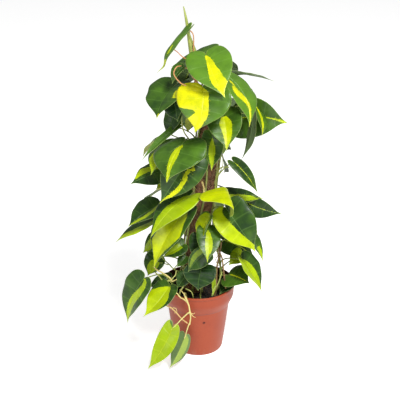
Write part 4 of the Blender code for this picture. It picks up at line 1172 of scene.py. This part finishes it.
def fibre_mat(net, given):
    """Short curled fibres scattered on a flat sheet, which is then wrapped round the leaning sleeve."""
    sleeve = given["Sleeve radius"]
    sheet = {"Size X": sleeve * (2 * math.pi), "Size Y": given["Height"], "Vertices X": 2, "Vertices Y": 2}
    scatter = net.add("GeometryNodeDistributePointsOnFaces", {
        "Mesh": net.add("GeometryNodeMeshGrid", sheet), "Density": given["Density"], "Seed": given["Seed"],
    })
    line = net.add("GeometryNodeCurvePrimitiveLine", {"Start": (-0.5, 0, 0), "End": (0.5, 0, 0)})
    size = net.random(*FIBRE_SIZES, 6) * given["Fibre length"]
    strands = net.add("GeometryNodeInstanceOnPoints", {
        "Points": scatter,
        "Instance": net.add("GeometryNodeResampleCurve", {"Curve": line, "Count": FIBRE_POINTS}),
        "Rotation": net.vector(0.0, 0.0, net.random(-FIBRE_LEAN, FIBRE_LEAN, 4)),
        "Scale": net.vector(size, size, size),
    })
    tagged = net.tag(net.tag(strands, "fibre", 0.0, 12), "lift", 0.1, 13)
    loose = net.add("GeometryNodeRealizeInstances", {"Geometry": tagged})
    curl = net.noise(net.add("GeometryNodeInputPosition"), FIBRE_CURLS, 1.0, out="Color")
    middle = net.vectors("SUBTRACT", curl, (0.5, 0.5, 0.5))
    sway = net.vectors("MULTIPLY", middle, (FIBRE_SWAY, FIBRE_SWAY, 0.0))
    bent = net.add("GeometryNodeSetPosition", {"Geometry": loose, "Offset": sway})
    x, y, _ = net.parts(net.add("GeometryNodeInputPosition"))
    turn = x / sleeve
    lift = net.add("GeometryNodeInputNamedAttribute", {"Name": "lift"}, "Attribute", data_type="FLOAT")
    reach = sleeve + lift * given["Lift"]
    level = y + (SOIL_TOP + POLE_TOP) / 2 * MM
    shift = (level - SOIL_TOP * MM) * math.tan(POLE_LEAN) + POLE_AT_SOIL * MM
    across, back = net.math("SINE", turn) * reach + shift, net.math("COSINE", turn) * (reach * -1.0)
    place = net.vector(across, back, level)
    wrapped = net.add("GeometryNodeSetPosition", {"Geometry": bent, "Position": place})
    profile = net.add("GeometryNodeCurvePrimitiveCircle", {"Resolution": 3, "Radius": given["Fibre radius"]})
    tube = {"Curve": wrapped, "Profile Curve": profile, "Fill Caps": True}
    return net.add("GeometryNodeCurveToMesh", tube)


def make_fibres(finish):
    """Loose coir fibres that lie over the sleeve in all directions."""
    start = mesh_object("coir_fibres", [(0, 0, 0), (1, 0, 0), (0, 1, 0)], [[0, 1, 2]], finish)
    return run_nodes(start, "fibre_mat", FIBRES, finish, fibre_mat)


def place_in_scene(data, place, turn):
    made = bpy.data.objects.new(data.name, data)
    made.location, made.rotation_euler = place, turn
    bpy.context.scene.collection.objects.link(made)
    return made


def make_camera():
    data = bpy.data.cameras.new("camera")
    data.sensor_width = SENSOR
    data.lens = FOCUS / PICTURE * SENSOR
    data.clip_end = 30
    turn = Euler((math.radians(90 - CAMERA_DOWN), 0, 0))
    bpy.context.scene.camera = place_in_scene(data, CAMERA_PLACE, turn)


def make_studio():
    scene = bpy.context.scene
    scene.view_settings.view_transform = "Standard"
    scene.world = bpy.data.worlds.new("studio")
    scene.world.use_nodes = True
    sky = scene.world.node_tree.nodes["Background"].inputs
    sky["Color"].default_value = (1, 1, 1, 1)
    sky["Strength"].default_value = WORLD_LIGHT
    for name, place, aim, size, power in LIGHTS:
        data = bpy.data.lights.new(name, "AREA")
        data.size, data.energy = size, power
        place_in_scene(data, place, Vector(np.subtract(place, aim)).to_track_quat("Z", "Y").to_euler())
    finish, net, shader = new_material("pale_floor")
    net.feed(shader["Base Color"], FLOOR_PALE)
    net.feed(shader["Roughness"], FLOOR_ROUGH)
    net.feed(shader["Emission Color"], (1, 1, 1))
    net.feed(shader["Emission Strength"], FLOOR_GLOW)
    floor = mesh_object("floor", FLOOR_CORNERS, [[0, 1, 2, 3]], finish)
    move(floor, 0, 0, -0.05)


def dress(piece, slot, *nodes):
    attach(piece, "root")
    if nodes:
        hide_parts(*nodes)


def repaint(node, finish):
    for place in node.material_slots:
        place.material = finish


def main():
    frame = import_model()
    make_camera()
    make_studio()
    mottle = make_mottle()
    foliage = blade_material(mottle), strand_material(mottle)
    soil, coir, fibre, wood = (rough_material(mottle, name) for name in ROUGH)
    dress(make_pot(pot_material(mottle)), "pot_plastic", "pot")
    dress(make_crumbs(soil), "soil")
    repaint(frame["nodes"]["soil"], soil)
    repaint(frame["nodes"]["pole_stake"], wood)
    dress(make_sleeve(coir), "coir", "pole_coir")
    dress(make_fibres(fibre), "coir")
    chance = np.random.default_rng(24)
    for name in LEAVES:
        dress(grow(name, foliage, chance), "foliage", name)


main()
